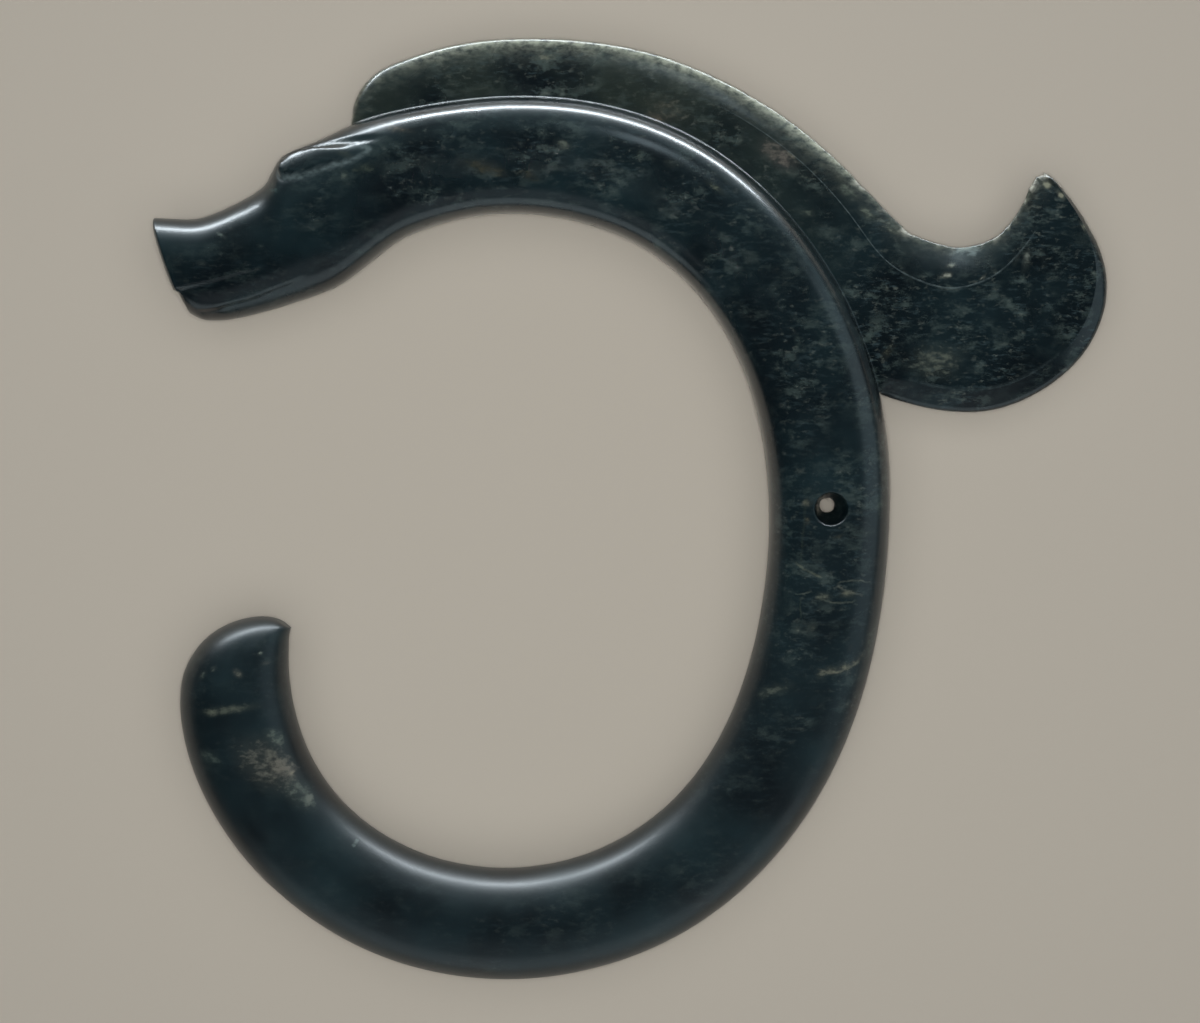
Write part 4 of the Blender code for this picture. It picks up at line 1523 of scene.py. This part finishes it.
@dataclass
class Studio:
    """A plain pale floor under soft light that comes mostly from the crest's side.

    Two lamps light the floor and the stone evenly. The others only show in the polish, so that
    the highlights can be set one by one and the floor stays even.
    """

    floor_colour: str = "c6bfb6"
    floor_roughness: float = 0.9
    floor_half: float = 3.0
    world_colour: str = "8799a8"
    world_strength: float = 0.05
    lamps: tuple[Lamp, ...] = (
        Lamp("overhead", (-0.024, 0.070, 0.790), (0.08, 0.08), 2.4, "fffef8", Shows.ON_SURFACES),
        Lamp("room_fill", (0.0, 0.0, 2.6), (4.6, 4.6), 46.0, "fffef8", Shows.ON_SURFACES),
        Lamp("ceiling_strip", (0.0, 1.15, 0.15), (2.2, 0.10), 33.0, "e6f1f8"),
        Lamp("upper_glow", (0.1, 0.85, 0.42), (2.6, 0.42), 1.6, "b0d4de"),
        Lamp("upper_sheen", (-0.25, 0.66, 0.94), (0.9, 0.50), 0.32, "a2cbd0"),
        Lamp("valley_sheen", (0.25, 0.68, 0.90), (0.16, 0.22), 0.36, "c2d8e2"),
        Lamp("side_glow", (0.85, 0.02, 0.46), (0.9, 0.60), 1.3, "b4cad2"),
        Lamp("lower_glow", (0.10, -0.90, 0.28), (2.2, 0.50), 2.9, "c9d8dc"),
        Lamp("lower_sheen", (0.0, -0.72, 0.86), (1.2, 0.45), 0.52, "c4ccd0"),
    )

    def build(self) -> None:
        """Lays the floor and hangs the lights."""
        plane = bpy.data.meshes.new("floor")
        size = self.floor_half
        corners = [(-size, -size, 0.0), (size, -size, 0.0), (size, size, 0.0), (-size, size, 0.0)]
        plane.from_pydata(corners, [], [(0, 1, 2, 3)])
        floor = bpy.data.objects.new("floor", plane)
        bpy.context.scene.collection.objects.link(floor)
        material = bpy.data.materials.new("pale_floor")
        material.use_nodes = True
        shader = material.node_tree.nodes["Principled BSDF"]
        shader.inputs["Base Color"].default_value = linear(self.floor_colour)
        shader.inputs["Roughness"].default_value = self.floor_roughness
        plane.materials.append(material)
        world = bpy.data.worlds.new("studio")
        world.use_nodes = True
        sky = world.node_tree.nodes["Background"]
        sky.inputs["Color"].default_value = linear(self.world_colour)
        sky.inputs["Strength"].default_value = self.world_strength
        bpy.context.scene.world = world
        bpy.context.scene.view_settings.view_transform = "Standard"
        for lamp in self.lamps:
            lamp.build()


@dataclass(frozen=True)
class Patch:
    """A cloudy lighter place in the stone, given by the pixel of the photograph at its middle. A few
    are painted highlights and reflections instead.

    Length and width are in drawn millimetres, and the turn is in degrees. The strength is the share
    of the colour at the middle, and the height is how far over the table the cloud lies.
    """

    across: float
    down: float
    length: float
    width: float
    turn: float
    colour: str
    strength: float
    height: float = 23.5


@dataclass(frozen=True)
class Vein:
    """A fine crack or pale thread, a shallow arc through three pixels of the photograph.

    Its width is in drawn millimetres. It is full at the core, a share of the width, and fades out
    between two shares of the way from its middle to its ends.
    """

    pixels: tuple[tuple[float, float], ...]
    width: float
    colour: str
    strength: float
    height: float = 24.0
    core: float = 0.25
    ends: Span = (1.15, 0.8)

    def arc(self, view: View) -> tuple[Vector, float, Vector, float]:
        """Finds the circle through the three points.

        Args:
            view: The photograph's view.

        Returns:
            The circle's centre and radius, the arc's middle point and half its chord.
        """
        points = [view.point(x, y, self.height) for x, y in self.pixels]
        first, middle, last = (Vector((p.x, p.y)) for p in points)
        a, b = middle - first, last - first
        cross = 2.0 * (a.x * b.y - a.y * b.x)
        centre = first + Vector((
            (b.y * a.length_squared - a.y * b.length_squared) / cross,
            (a.x * b.length_squared - b.x * a.length_squared) / cross,
        ))
        return (
            Vector((centre.x, centre.y, 0.0)), (first - centre).length, points[1], b.length / 2,
        )


@dataclass(frozen=True)
class CloudsAndSheens:
    """The lighter clouds that lie in the stone, and a few painted highlights and reflections, kept as
    a colour on the points of the mesh.

    A cloud reaches a few millimetres into the stone, so it shows on the side that it lies on. Its
    edge is soft, from the first to the second share of its half size.
    """

    flesh: float = 5.0
    soft_edge: Span = (0.35, 1.3)
    beside: str = "5d655c"
    patches: tuple[Patch, ...] = (
        Patch(778, 155, 13.0, 6.5, -35.0, "6f6a66", 0.62, 15.0),
        Patch(668, 108, 15.0, 8.0, -20.0, "5d5f57", 0.50, 15.0),
        Patch(655, 118, 6.0, 3.0, -20.0, "7d7265", 0.60, 15.0),
        Patch(816, 118, 22.0, 4.5, -37.0, "666d60", 0.50, 15.0),
        Patch(560, 132, 16.0, 4.0, 0.0, "4c564d", 0.50, 15.0),
        Patch(545, 57, 6.0, 2.0, 0.0, "7c7f70", 0.55, 15.0),
        Patch(936, 361, 16.0, 10.0, 4.0, "555d56", 0.60, 15.0),
        Patch(888, 352, 6.0, 1.8, 30.0, "56584c", 0.55, 15.0),
        Patch(1028, 256, 8.5, 2.4, 10.0, "6a736f", 0.65, 14.5),
        Patch(1013, 341, 2.6, 1.2, 55.0, "707263", 0.60, 15.0),
        Patch(1031, 303, 3.4, 1.2, -40.0, "6c7068", 0.55, 15.0),
        Patch(947, 275, 3.4, 1.5, 12.0, "9aa096", 0.80, 14.8),
        Patch(950, 266, 3.0, 0.9, 0.0, "8f978f", 0.70, 14.5),
        Patch(982, 278, 1.8, 1.1, 0.0, "a5aaa0", 0.80, 14.8),
        # Painted highlight: the sheen on the bevel in the mane's valley, laid as pale teal clouds.
        Patch(968, 250, 13.0, 5.0, 4.0, "71848b", 0.62, 14.0),
        Patch(966, 246, 6.0, 3.0, 4.0, "8fa2a8", 0.55, 14.0),
        Patch(1047, 184, 3.0, 2.4, -40.0, "8a8d7c", 0.80, 14.0),
        Patch(1060, 195, 3.6, 1.6, -48.0, "85887a", 0.75, 14.0),
        Patch(1083, 227, 3.2, 2.0, -60.0, "7c8074", 0.75, 14.0),
        Patch(867, 214, 5.5, 3.6, -45.0, "6f7a70", 0.55, 14.0),
        Patch(893, 229, 5.0, 2.4, -35.0, "7b8478", 0.55, 13.8),
        Patch(846, 190, 8.0, 4.0, -45.0, "58665f", 0.50, 14.0),
        Patch(807, 503, 3.2, 2.6, 0.0, "5d6056", 0.55),
        Patch(807, 521, 1.8, 2.6, 0.0, "5d5c4c", 0.50),
        Patch(838, 536, 3.6, 1.4, 5.0, "4d5148", 0.50),
        Patch(866, 534, 4.6, 1.2, 0.0, "4b544e", 0.50),
        Patch(874, 559, 1.8, 1.2, 0.0, "6c625c", 0.60, 20.0),
        Patch(849, 595, 6.5, 2.0, -22.0, "62665a", 0.75),
        Patch(823, 597, 4.5, 2.2, -8.0, "5d645a", 0.65),
        Patch(811, 628, 3.0, 2.4, 0.0, "4b5048", 0.50),
        Patch(797, 630, 1.2, 1.0, 0.0, "6b746c", 0.60),
        Patch(849, 650, 2.8, 1.5, 0.0, "7a6e65", 0.65),
        Patch(859, 659, 4.0, 1.5, 25.0, "6f7065", 0.65),
        Patch(838, 669, 11.0, 2.0, 10.0, "6a6d60", 0.70),
        Patch(822, 672, 3.0, 2.2, 0.0, "62675c", 0.60),
        Patch(775, 690, 11.0, 2.6, 14.0, "4c554f", 0.60),
        Patch(764, 695, 4.0, 2.4, 20.0, "59635c", 0.55),
        # Painted reflection: a soft grey band along the outer edge of the right arm.
        Patch(880, 505, 3.5, 7.0, 0.0, "3d4a48", 0.50, 20.0),
        Patch(872, 640, 4.0, 14.0, -12.0, "3f4b48", 0.50, 20.0),
        Patch(230, 709, 19.0, 2.6, 6.0, "4a524b", 0.62),
        Patch(212, 713, 4.0, 2.2, 0.0, "646b60", 0.60),
        Patch(272, 765, 24.0, 14.0, -30.0, "5c5f59", 0.58),
        Patch(286, 768, 10.0, 5.0, -20.0, "74716a", 0.45),
        Patch(277, 738, 8.0, 4.5, -30.0, "5a6660", 0.60),
        Patch(303, 795, 11.0, 8.0, -35.0, "55605c", 0.58, 22.0),
        Patch(309, 798, 2.6, 3.0, -30.0, "747b74", 0.50, 22.0),
        Patch(238, 673, 3.6, 2.2, -40.0, "6c6f66", 0.60),
        Patch(203, 675, 3.0, 1.6, 60.0, "55605c", 0.60, 22.0),
        Patch(212, 757, 8.0, 4.0, -20.0, "44514e", 0.52, 22.0),
        Patch(214, 668, 1.8, 1.4, 0.0, "5f6a66", 0.60, 22.0),
        Patch(260, 654, 1.6, 1.3, 0.0, "74807a", 0.60),
        Patch(266, 664, 2.6, 0.9, 0.0, "757066", 0.65),
        Patch(344, 175, 2.6, 4.0, 0.0, "4f5b56", 0.55),
        Patch(365, 168, 9.0, 3.0, 8.0, "3a443d", 0.55),
        Patch(345, 154, 5.5, 2.0, -20.0, "535b52", 0.55),
        # Painted highlight below the front of the eye, where the skin turns hollow.
        Patch(272, 190, 6.0, 3.4, 30.0, "3f5456", 0.55, 22.0),
        Patch(202, 263, 3.4, 1.8, -10.0, "4d5654", 0.50, 21.0),
        Patch(221, 235, 4.0, 1.2, -30.0, "6c7a78", 0.55, 21.0),
        Patch(261, 246, 2.0, 1.0, 0.0, "4b5a58", 0.55),
        Patch(395, 128, 12.0, 2.4, -12.0, "6b6353", 0.55, 21.0),
        Patch(420, 118, 12.0, 2.0, 6.0, "55604f", 0.50, 20.0),
        Patch(513, 109, 4.5, 1.6, -8.0, "718087", 0.60, 20.0),
        Patch(556, 118, 2.4, 3.2, -30.0, "53615e", 0.55, 21.0),
        Patch(563, 145, 5.0, 3.0, -20.0, "59625b", 0.60),
        Patch(485, 168, 16.0, 4.0, -16.0, "38382c", 0.60),
        Patch(530, 176, 7.0, 3.0, -20.0, "3d3b2d", 0.55),
        Patch(715, 188, 9.0, 2.2, -35.0, "626a5c", 0.60, 21.0),
        Patch(725, 180, 9.0, 2.0, -42.0, "6f7c74", 0.50, 19.0),
        Patch(640, 155, 3.6, 2.6, 60.0, "4e5b56", 0.55),
        Patch(673, 163, 5.0, 2.6, 10.0, "4b5550", 0.50),
        Patch(798, 176, 8.0, 1.8, -20.0, "4f5b57", 0.55, 15.0),
        Patch(806, 213, 5.0, 2.0, -10.0, "57625b", 0.55, 15.0),
    )

    def paint(self, mesh: bpy.types.Mesh, unit: float, view: View) -> None:
        """Lays every cloud and painted highlight over the ones before it.

        Args:
            mesh: The carving.
            unit: Metres in one drawn millimetre.
            view: The photograph's view, which places the clouds.
        """
        count = len(mesh.vertices)
        points = np.empty(3 * count)
        mesh.vertices.foreach_get("co", points)
        points = points.reshape(-1, 3) / unit
        colour = np.tile(np.array(linear(self.beside)), (count, 1))
        colour[:, 3] = 0.0
        for patch in self.patches:
            away = points - np.array(view.point(patch.across, patch.down, patch.height))
            turn = math.radians(patch.turn)
            along = away[:, 0] * math.cos(turn) + away[:, 1] * math.sin(turn)
            across = away[:, 1] * math.cos(turn) - away[:, 0] * math.sin(turn)
            reach = np.sqrt(
                (2 * along / patch.length) ** 2 + (2 * across / patch.width) ** 2
                + (away[:, 2] / self.flesh) ** 2
            )
            share = patch.strength * (1.0 - smoothstep(reach, *self.soft_edge))
            total = share + colour[:, 3] * (1.0 - share)
            weight = (share / np.maximum(total, 1e-6))[:, None]
            colour[:, :3] += (np.array(linear(patch.colour)[:3]) - colour[:, :3]) * weight
            colour[:, 3] = total
        layer = mesh.attributes.new(CLOUD_AND_SHEEN_LAYER, "FLOAT_COLOR", "POINT")
        layer.data.foreach_set("color", colour.ravel().astype(np.float32))


@dataclass(frozen=True)
class Marking:
    """One kind of marking that runs all through the stone.

    The size of its cells is in drawn millimetres, divided along each axis by the squeeze. It shows
    from the first value of its noise on, and is full at the second.
    """

    squeeze: tuple[float, float, float]
    size: float
    detail: float
    roughness: float
    shows: Span
    strength: float
    colour: str


@dataclass(frozen=True)
class Reading:
    """What the finish reads at each place in the stone, as outputs of nodes.

    Drawn is the place in drawn millimetres, split is its X, Y and Z, mane is 1 on the mane, drift
    is how green the body is, and flakes is the finest noise, which breaks up other marks too.
    """

    tree: bpy.types.NodeTree
    drawn: Socket
    split: bpy.types.NodeOutputs
    mane: Socket
    drift: Socket
    flakes: Socket


@dataclass(frozen=True)
class Nephrite:
    """Nephrite, ground and polished: a dense, near-black green stone with a greasy soft gloss.

    Its fibres lie in level beds, which show as fine streaks. Paler threads, flecks and clouds lie
    in it, with a few painted highlights and reflections among the clouds. Its weathered rind shows
    along the crest, painted brighter so that it is also a painted highlight along the crest's edge.
    Sizes and places are in drawn millimetres, and a range says where something starts and where it is
    full.
    """

    # The body's colour drifts from a blue black to a deep green and back within about 24 mm.
    deep: str = "0a1318"
    green: str = "14272d"
    drift_size: float = 24.0
    drift_range: Span = (0.35, 0.7)
    # Nephrite's fibres are thousandths of a millimetre thick. Their beds are drawn as coarse as
    # they need to show: 3.6 mm long and 1.2 mm apart.
    streaks: Marking = Marking(
        (1 / 3.6, 1 / 1.2, 1 / 2.5), 1.0, 4.0, 0.6, (0.53, 0.68), 0.50, "33444a"
    )
    mottles: Marking = Marking((0.6, 1.0, 0.8), 4.2, 5.0, 0.7, (0.51, 0.65), 0.50, "495857")
    flecks: Marking = Marking((0.6, 1.0, 0.8), 1.5, 4.0, 0.62, (0.57, 0.75), 0.30, "7c8680")
    # They gather in places some 13 mm across. The foot and the head have fewer of them, by axis,
    # start, end and least share, and the mane has more.
    gather_size: float = 13.0
    gather_range: Span = (0.36, 0.60)
    gather_least: float = 0.12
    fewer: Table = ((1, -78.0, -20.0, 0.30), (0, -92.0, -52.0, 0.40))
    more_in_mane: float = 0.5
    # A cloud is a thin haze that thickens to flakes towards its middle.
    flake_range: Span = (0.36, 0.64)
    flake_gain: Span = (-0.28, 0.28)
    cloud_range: Span = (0.30, 1.05)
    cloud_most: float = 0.9
    cloud_haze: float = 0.30
    # Cracks are hair-fine, and drawn 0.3 to 0.6 mm wide so that they show. They waver by up to
    # 0.8 mm to each side within 2.6 mm, and come and go along their way.
    waver_size: float = 2.6
    waver: float = 1.6
    come_and_go: Span = (0.36, 0.60)
    line_shares: Span = (0.2, 0.68)
    # The mane has weathered to olive in the part nearer the head.
    olive: str = "2b3024"
    olive_range: Span = (62.0, 20.0)
    olive_most: float = 0.62
    # The rind is a chalky crust along the edge of the crest, worn through in patches, and it is
    # painted brighter than the crust so that it is also a painted highlight along the edge. It is
    # thin by the nape and from the bay of the mane on.
    rind: str = "bcc4b4"
    rind_broad: float = 0.52
    rind_power: float = 2.2
    rind_ends: Table = ((66.0, 48.0), (-78.0, -52.0))
    rind_least: float = 0.2
    patch_range: Span = (0.34, 0.62)
    patch_shares: Span = (0.15, 1.2)
    # Ground lines are painted paler than the polish, partly as scuffing and partly as a painted
    # highlight along their small ridges and cuts, and a fresh break is nearly white.
    ground: str = "6c7d82"
    fresh: str = "dfe2d8"
    break_roughness: float = 0.35
    # Felted fibres never take a glassy polish: the gloss is soft and greasy, duller in the green,
    # and worn towards the foot, on the mane and on the head. Nephrite refracts at about 1.61.
    ior: float = 1.61
    roughness: Span = (0.245, 0.325)
    wear: float = 0.10
    wear_range: Span = (40.0, -40.0)
    polish: Span = (0.52, 0.0624)
    polish_roughness: float = 0.18
    matt_mane: float = 0.55
    head_range: Span = (-85.0, -50.0)
    head_polish: float = 0.35
    # Scratches of the last grit run along X. They are hair-fine, and drawn coarser, 1.6 mm long
    # and 0.4 mm wide, so that they break up the gloss.
    scratches: tuple[float, float, float] = (1 / 1.6, 2.6, 2.0)
    scratch_strength: float = 0.22
    scratch_depth: float = 0.03
    veins: tuple[Vein, ...] = (
        Vein(((806, 500), (803.5, 530), (801, 566)), 0.5, "39423a", 0.45),
        Vein(((796.7, 564), (808, 570.3), (822, 577.2)), 0.42, "626859", 0.68),
        Vein(((836.5, 583), (854.9, 580.3), (873.2, 584.4)), 0.40, "626860", 0.62),
        Vein(((838, 586.5), (850, 592.5), (866, 596)), 0.50, "70746a", 0.60),
        Vein(((818, 597.9), (836.5, 602.5), (856.4, 600.2)), 0.34, "5e665d", 0.62),
        Vein(((794.4, 594), (803, 593.4), (811.3, 591)), 0.30, "57615a", 0.60),
        Vein(((800.5, 598), (800.2, 608), (800.5, 618)), 0.34, "3d473f", 0.60),
        Vein(((819.7, 669.8), (842, 670.5), (864, 657.5)), 0.55, "77796c", 0.75),
        Vein(((288.6, 775.8), (297, 770.3), (308.5, 765.9)), 0.55, "9a9684", 0.95),
        Vein(((352.4, 846.3), (356.4, 841.8), (359.9, 836.4)), 0.62, "7f9190", 0.8, 22.0),
        Vein(((787, 152), (791.6, 155.4), (796, 158)), 0.60, "8d8c80", 0.70, 15.0),
    )

    def build(self, unit: float, view: View) -> bpy.types.Material:
        """Builds the material.

        Args:
            unit: Metres in one drawn millimetre.
            view: The photograph's view, which places the marks on the stone.

        Returns:
            The material.
        """
        material = bpy.data.materials.new("polished_nephrite")
        material.use_nodes = True
        tree = material.node_tree
        tree.nodes.clear()
        at = self.read(tree, unit)
        colour = linear(self.deep)
        weathered, broken = self.weather(at)
        tints = [(at.drift, linear(self.green)), *self.speckle(at), self.cloud(at),
                 *self.crack(at, view), *weathered]
        for share, tint in tints:
            colour = add(tree, "ShaderNodeMix", {0: share, 6: colour, 7: tint}, data_type="RGBA")[2]
        rough, polish = self.gloss(at, broken)
        scratch = add(tree, "ShaderNodeMapping", {"Vector": at.drawn, "Scale": self.scratches})[0]
        scratch = add(tree, "ShaderNodeTexNoise",
                      {"Vector": scratch, "Scale": 1.0, "Detail": 3.0, "Roughness": 0.6})[0]
        bump = add(tree, "ShaderNodeBump",
                   {"Strength": self.scratch_strength, "Distance": self.scratch_depth * unit,
                    "Height": scratch})[0]
        shader = add(tree, "ShaderNodeBsdfPrincipled",
                     {"Base Color": colour, "Roughness": rough, "IOR": self.ior, "Normal": bump,
                      "Coat Weight": polish, "Coat Roughness": self.polish_roughness,
                      "Coat IOR": self.ior})[0]
        add(tree, "ShaderNodeOutputMaterial", {0: shader})
        return material

    def noise(self, tree: bpy.types.NodeTree, drawn: Socket, kind: Marking) -> Socket:
        """Makes the noise that one kind of marking follows, at its own size.

        Args:
            tree: The material's nodes.
            drawn: The place in drawn millimetres.
            kind: The marking.

        Returns:
            The noise.
        """
        squeezed = add(tree, "ShaderNodeMapping", {"Vector": drawn, "Scale": kind.squeeze})[0]
        return add(tree, "ShaderNodeTexNoise",
                   {"Vector": squeezed, "Scale": 1 / kind.size, "Detail": kind.detail,
                    "Roughness": kind.roughness})[0]

    def read(self, tree: bpy.types.NodeTree, unit: float) -> Reading:
        """Sets up what the markings are worked out from.

        Args:
            tree: The material's nodes.
            unit: Metres in one drawn millimetre.

        Returns:
            The outputs to read.
        """
        space = add(tree, "ShaderNodeTexCoord")["Object"]
        drawn = add(tree, "ShaderNodeVectorMath", {0: space, "Scale": 1 / unit}, operation="SCALE")[0]
        split = add(tree, "ShaderNodeSeparateXYZ", {0: drawn})
        mane = add(tree, "ShaderNodeAttribute", attribute_name=Mark.MANE.value)["Fac"]
        drift = add(tree, "ShaderNodeTexNoise",
                    {"Vector": drawn, "Scale": 1 / self.drift_size, "Detail": 3.0})[0]
        drift = add(tree, "ShaderNodeMapRange", {"Value": drift, **between(self.drift_range)})[0]
        return Reading(tree, drawn, split, mane, drift, self.noise(tree, drawn, self.flecks))

    def speckle(self, at: Reading) -> list[Tint]:
        """Strews the streaks, mottles and flecks.

        Args:
            at: What the finish reads.

        Returns:
            The tint of each kind.
        """
        dense = add(at.tree, "ShaderNodeTexNoise",
                    {"Vector": at.drawn, "Scale": 1 / self.gather_size, "Detail": 2.0})[0]
        dense = add(at.tree, "ShaderNodeMapRange",
                    {"Value": dense, **between(self.gather_range), "To Min": self.gather_least})[0]
        factors = [
            add(at.tree, "ShaderNodeMapRange",
                {"Value": at.split[axis], **between((start, end)), "To Min": least})[0]
            for axis, start, end, least in self.fewer
        ]
        factors.append(add(at.tree, "ShaderNodeMath", {0: at.mane, 1: self.more_in_mane, 2: 1.0},
                           operation="MULTIPLY_ADD")[0])
        for factor in factors:
            dense = add(at.tree, "ShaderNodeMath", {0: dense, 1: factor}, operation="MULTIPLY")[0]
        tints = []
        for kind in (self.streaks, self.mottles, self.flecks):
            noise = at.flakes if kind is self.flecks else self.noise(at.tree, at.drawn, kind)
            share = add(at.tree, "ShaderNodeMapRange",
                        {"Value": noise, **between(kind.shows), "To Max": kind.strength})[0]
            share = add(at.tree, "ShaderNodeMath", {0: share, 1: dense}, operation="MULTIPLY")[0]
            tints.append((share, linear(kind.colour)))
        return tints

    def cloud(self, at: Reading) -> Tint:
        """Breaks the painted clouds and painted highlights up into flakes.

        Args:
            at: What the finish reads.

        Returns:
            The tint of all the clouds and painted highlights.
        """
        painted = add(at.tree, "ShaderNodeAttribute", attribute_name=CLOUD_AND_SHEEN_LAYER)
        flaky = add(at.tree, "ShaderNodeMapRange",
                    {"Value": at.flakes, **between(self.flake_range),
                     **between(self.flake_gain, "To")})[0]
        share = add(at.tree, "ShaderNodeMath", {0: painted["Alpha"], 1: flaky}, operation="ADD")[0]
        share = add(at.tree, "ShaderNodeMapRange",
                    {"Value": share, **between(self.cloud_range), "To Max": self.cloud_most},
                    interpolation_type="SMOOTHSTEP")[0]
        share = add(at.tree, "ShaderNodeMath", {0: painted["Alpha"], 1: self.cloud_haze, 2: share},
                    operation="MULTIPLY_ADD", use_clamp=True)[0]
        return share, painted["Color"]

    def faint(self, at: Reading) -> Socket:
        """Lets a fine line come and go along its way."""
        return add(at.tree, "ShaderNodeMapRange",
                   {"Value": at.flakes, **between(self.come_and_go),
                    **between(self.line_shares, "To")})[0]

    def crack(self, at: Reading, view: View) -> list[Tint]:
        """Draws the cracks and threads, each by how far a place is from its arc.

        Args:
            at: What the finish reads.
            view: The photograph's view.

        Returns:
            The tint of each.
        """
        wobble = add(at.tree, "ShaderNodeTexNoise",
                     {"Vector": at.drawn, "Scale": 1 / self.waver_size, "Detail": 3.0,
                      "Roughness": 0.7})[1]
        wobble = add(at.tree, "ShaderNodeVectorMath", {0: wobble, 1: (0.5, 0.5, 0.5)},
                     operation="SUBTRACT")[0]
        shaken = add(at.tree, "ShaderNodeVectorMath", {0: wobble, "Scale": self.waver},
                     operation="SCALE")[0]
        shaken = add(at.tree, "ShaderNodeVectorMath", {0: at.drawn, 1: shaken}, operation="ADD")[0]
        level = add(at.tree, "ShaderNodeVectorMath", {0: shaken, 1: (1.0, 1.0, 0.0)},
                    operation="MULTIPLY")[0]
        faint = self.faint(at)
        tints = []
        for vein in self.veins:
            centre, radius, middle, half = vein.arc(view)
            off = add(at.tree, "ShaderNodeVectorMath", {0: level, 1: centre}, operation="DISTANCE")[1]
            off = add(at.tree, "ShaderNodeMath", {0: off, 1: radius}, operation="SUBTRACT")[0]
            off = add(at.tree, "ShaderNodeMath", {0: off}, operation="ABSOLUTE")[0]
            widths = (vein.width, vein.core * vein.width)
            share = add(at.tree, "ShaderNodeMapRange",
                        {"Value": off, **between(widths), "To Max": vein.strength},
                        interpolation_type="SMOOTHSTEP")[0]
            ends = (vein.ends[0] * half, vein.ends[1] * half)
            near = add(at.tree, "ShaderNodeVectorMath", {0: shaken, 1: middle},
                       operation="DISTANCE")[1]
            near = add(at.tree, "ShaderNodeMapRange", {"Value": near, **between(ends)},
                       interpolation_type="SMOOTHSTEP")[0]
            for factor in (near, faint):
                share = add(at.tree, "ShaderNodeMath", {0: share, 1: factor},
                            operation="MULTIPLY")[0]
            tints.append((share, linear(vein.colour)))
        return tints

    def weather(self, at: Reading) -> tuple[list[Tint], Socket]:
        """Weathers the mane and its crest, paints highlights along the crest's edge and the ground
        lines, and shows ground lines and fresh breaks.

        Args:
            at: What the finish reads.

        Returns:
            The tints of olive, rind, ground lines and breaks, and how freshly broken a place is.
        """
        rim, line, chip = (
            add(at.tree, "ShaderNodeAttribute", attribute_name=mark.value)["Fac"]
            for mark in (Mark.RIND, Mark.LINE, Mark.CHIP)
        )
        older = add(at.tree, "ShaderNodeMapRange",
                    {"Value": at.split[0], **between(self.olive_range),
                     "To Max": self.olive_most})[0]
        olive = at.mane
        for factor in (at.drift, older):
            olive = add(at.tree, "ShaderNodeMath", {0: olive, 1: factor}, operation="MULTIPLY")[0]
        patchy = add(at.tree, "ShaderNodeMapRange",
                     {"Value": at.flakes, **between(self.patch_range),
                      **between(self.patch_shares, "To")})[0]
        # The rind is painted both as crust and as a painted highlight along the crest's edge.
        rind = add(at.tree, "ShaderNodeMath", {0: rim, 1: self.rind_power}, operation="POWER")[0]
        rind = add(at.tree, "ShaderNodeMath", {0: rim, 1: self.rind_broad, 2: rind},
                   operation="MULTIPLY_ADD")[0]
        rind = add(at.tree, "ShaderNodeMath", {0: rind, 1: patchy}, operation="MULTIPLY")[0]
        for ends in self.rind_ends:
            crest = add(at.tree, "ShaderNodeMapRange",
                        {"Value": at.split[0], **between(ends), "To Min": self.rind_least})[0]
            rind = add(at.tree, "ShaderNodeMath", {0: rind, 1: crest}, operation="MULTIPLY",
                       use_clamp=True)[0]
        # Ground lines are painted paler, partly as scuffing and partly as a painted highlight.
        line = add(at.tree, "ShaderNodeMath", {0: line, 1: self.faint(at)},
                   operation="MULTIPLY")[0]
        broken = add(at.tree, "ShaderNodeMath", {0: chip, 1: patchy}, operation="MULTIPLY",
                     use_clamp=True)[0]
        tints = [(olive, linear(self.olive)), (rind, linear(self.rind)),
                 (line, linear(self.ground)), (broken, linear(self.fresh))]
        return tints, broken

    def gloss(self, at: Reading, broken: Socket) -> tuple[Socket, Socket]:
        """Works out the roughness of the stone and the weight of its polish.

        Args:
            at: What the finish reads.
            broken: How freshly broken a place is.

        Returns:
            The roughness and the polish.
        """
        rough = add(at.tree, "ShaderNodeMapRange",
                    {"Value": at.drift, **between(self.roughness, "To")})[0]
        worn = add(at.tree, "ShaderNodeMapRange",
                   {"Value": at.split[1], **between(self.wear_range)})[0]
        for share, more in ((broken, self.break_roughness), (worn, self.wear)):
            rough = add(at.tree, "ShaderNodeMath", {0: share, 1: more, 2: rough},
                        operation="MULTIPLY_ADD")[0]
        polish = add(at.tree, "ShaderNodeMapRange",
                     {"Value": worn, **between(self.polish, "To")})[0]
        matt = add(at.tree, "ShaderNodeMath", {0: at.mane, 1: -self.matt_mane, 2: 1.0},
                   operation="MULTIPLY_ADD")[0]
        head = add(at.tree, "ShaderNodeMapRange",
                   {"Value": at.split[0], **between(self.head_range),
                    "To Min": self.head_polish})[0]
        for factor in (matt, head):
            polish = add(at.tree, "ShaderNodeMath", {0: polish, 1: factor}, operation="MULTIPLY")[0]
        return rough, polish


def main() -> None:
    """Builds the carving and the studio around it."""
    logging.basicConfig(level=logging.INFO, format="%(name)s: %(message)s")
    for thing in list(bpy.data.objects):
        bpy.data.objects.remove(thing)
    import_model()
    low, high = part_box(NODE)
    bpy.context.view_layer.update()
    unit = (high.y - low.y) / DRAWN_SPAN_Y
    view = View()
    view.build(unit)
    Studio().build()
    carving = Carving()
    carving.build()
    stone = Nephrite().build(unit, view)
    piece = HandFinish().apply(carving.mesh(unit, low, high), unit, stone)
    CloudsAndSheens().paint(piece.data, unit, view)
    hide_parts(NODE)
    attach(piece, "root")
    log.info("%s has %d faces", piece.name, len(piece.data.polygons))


if __name__ == "__main__":
    main()
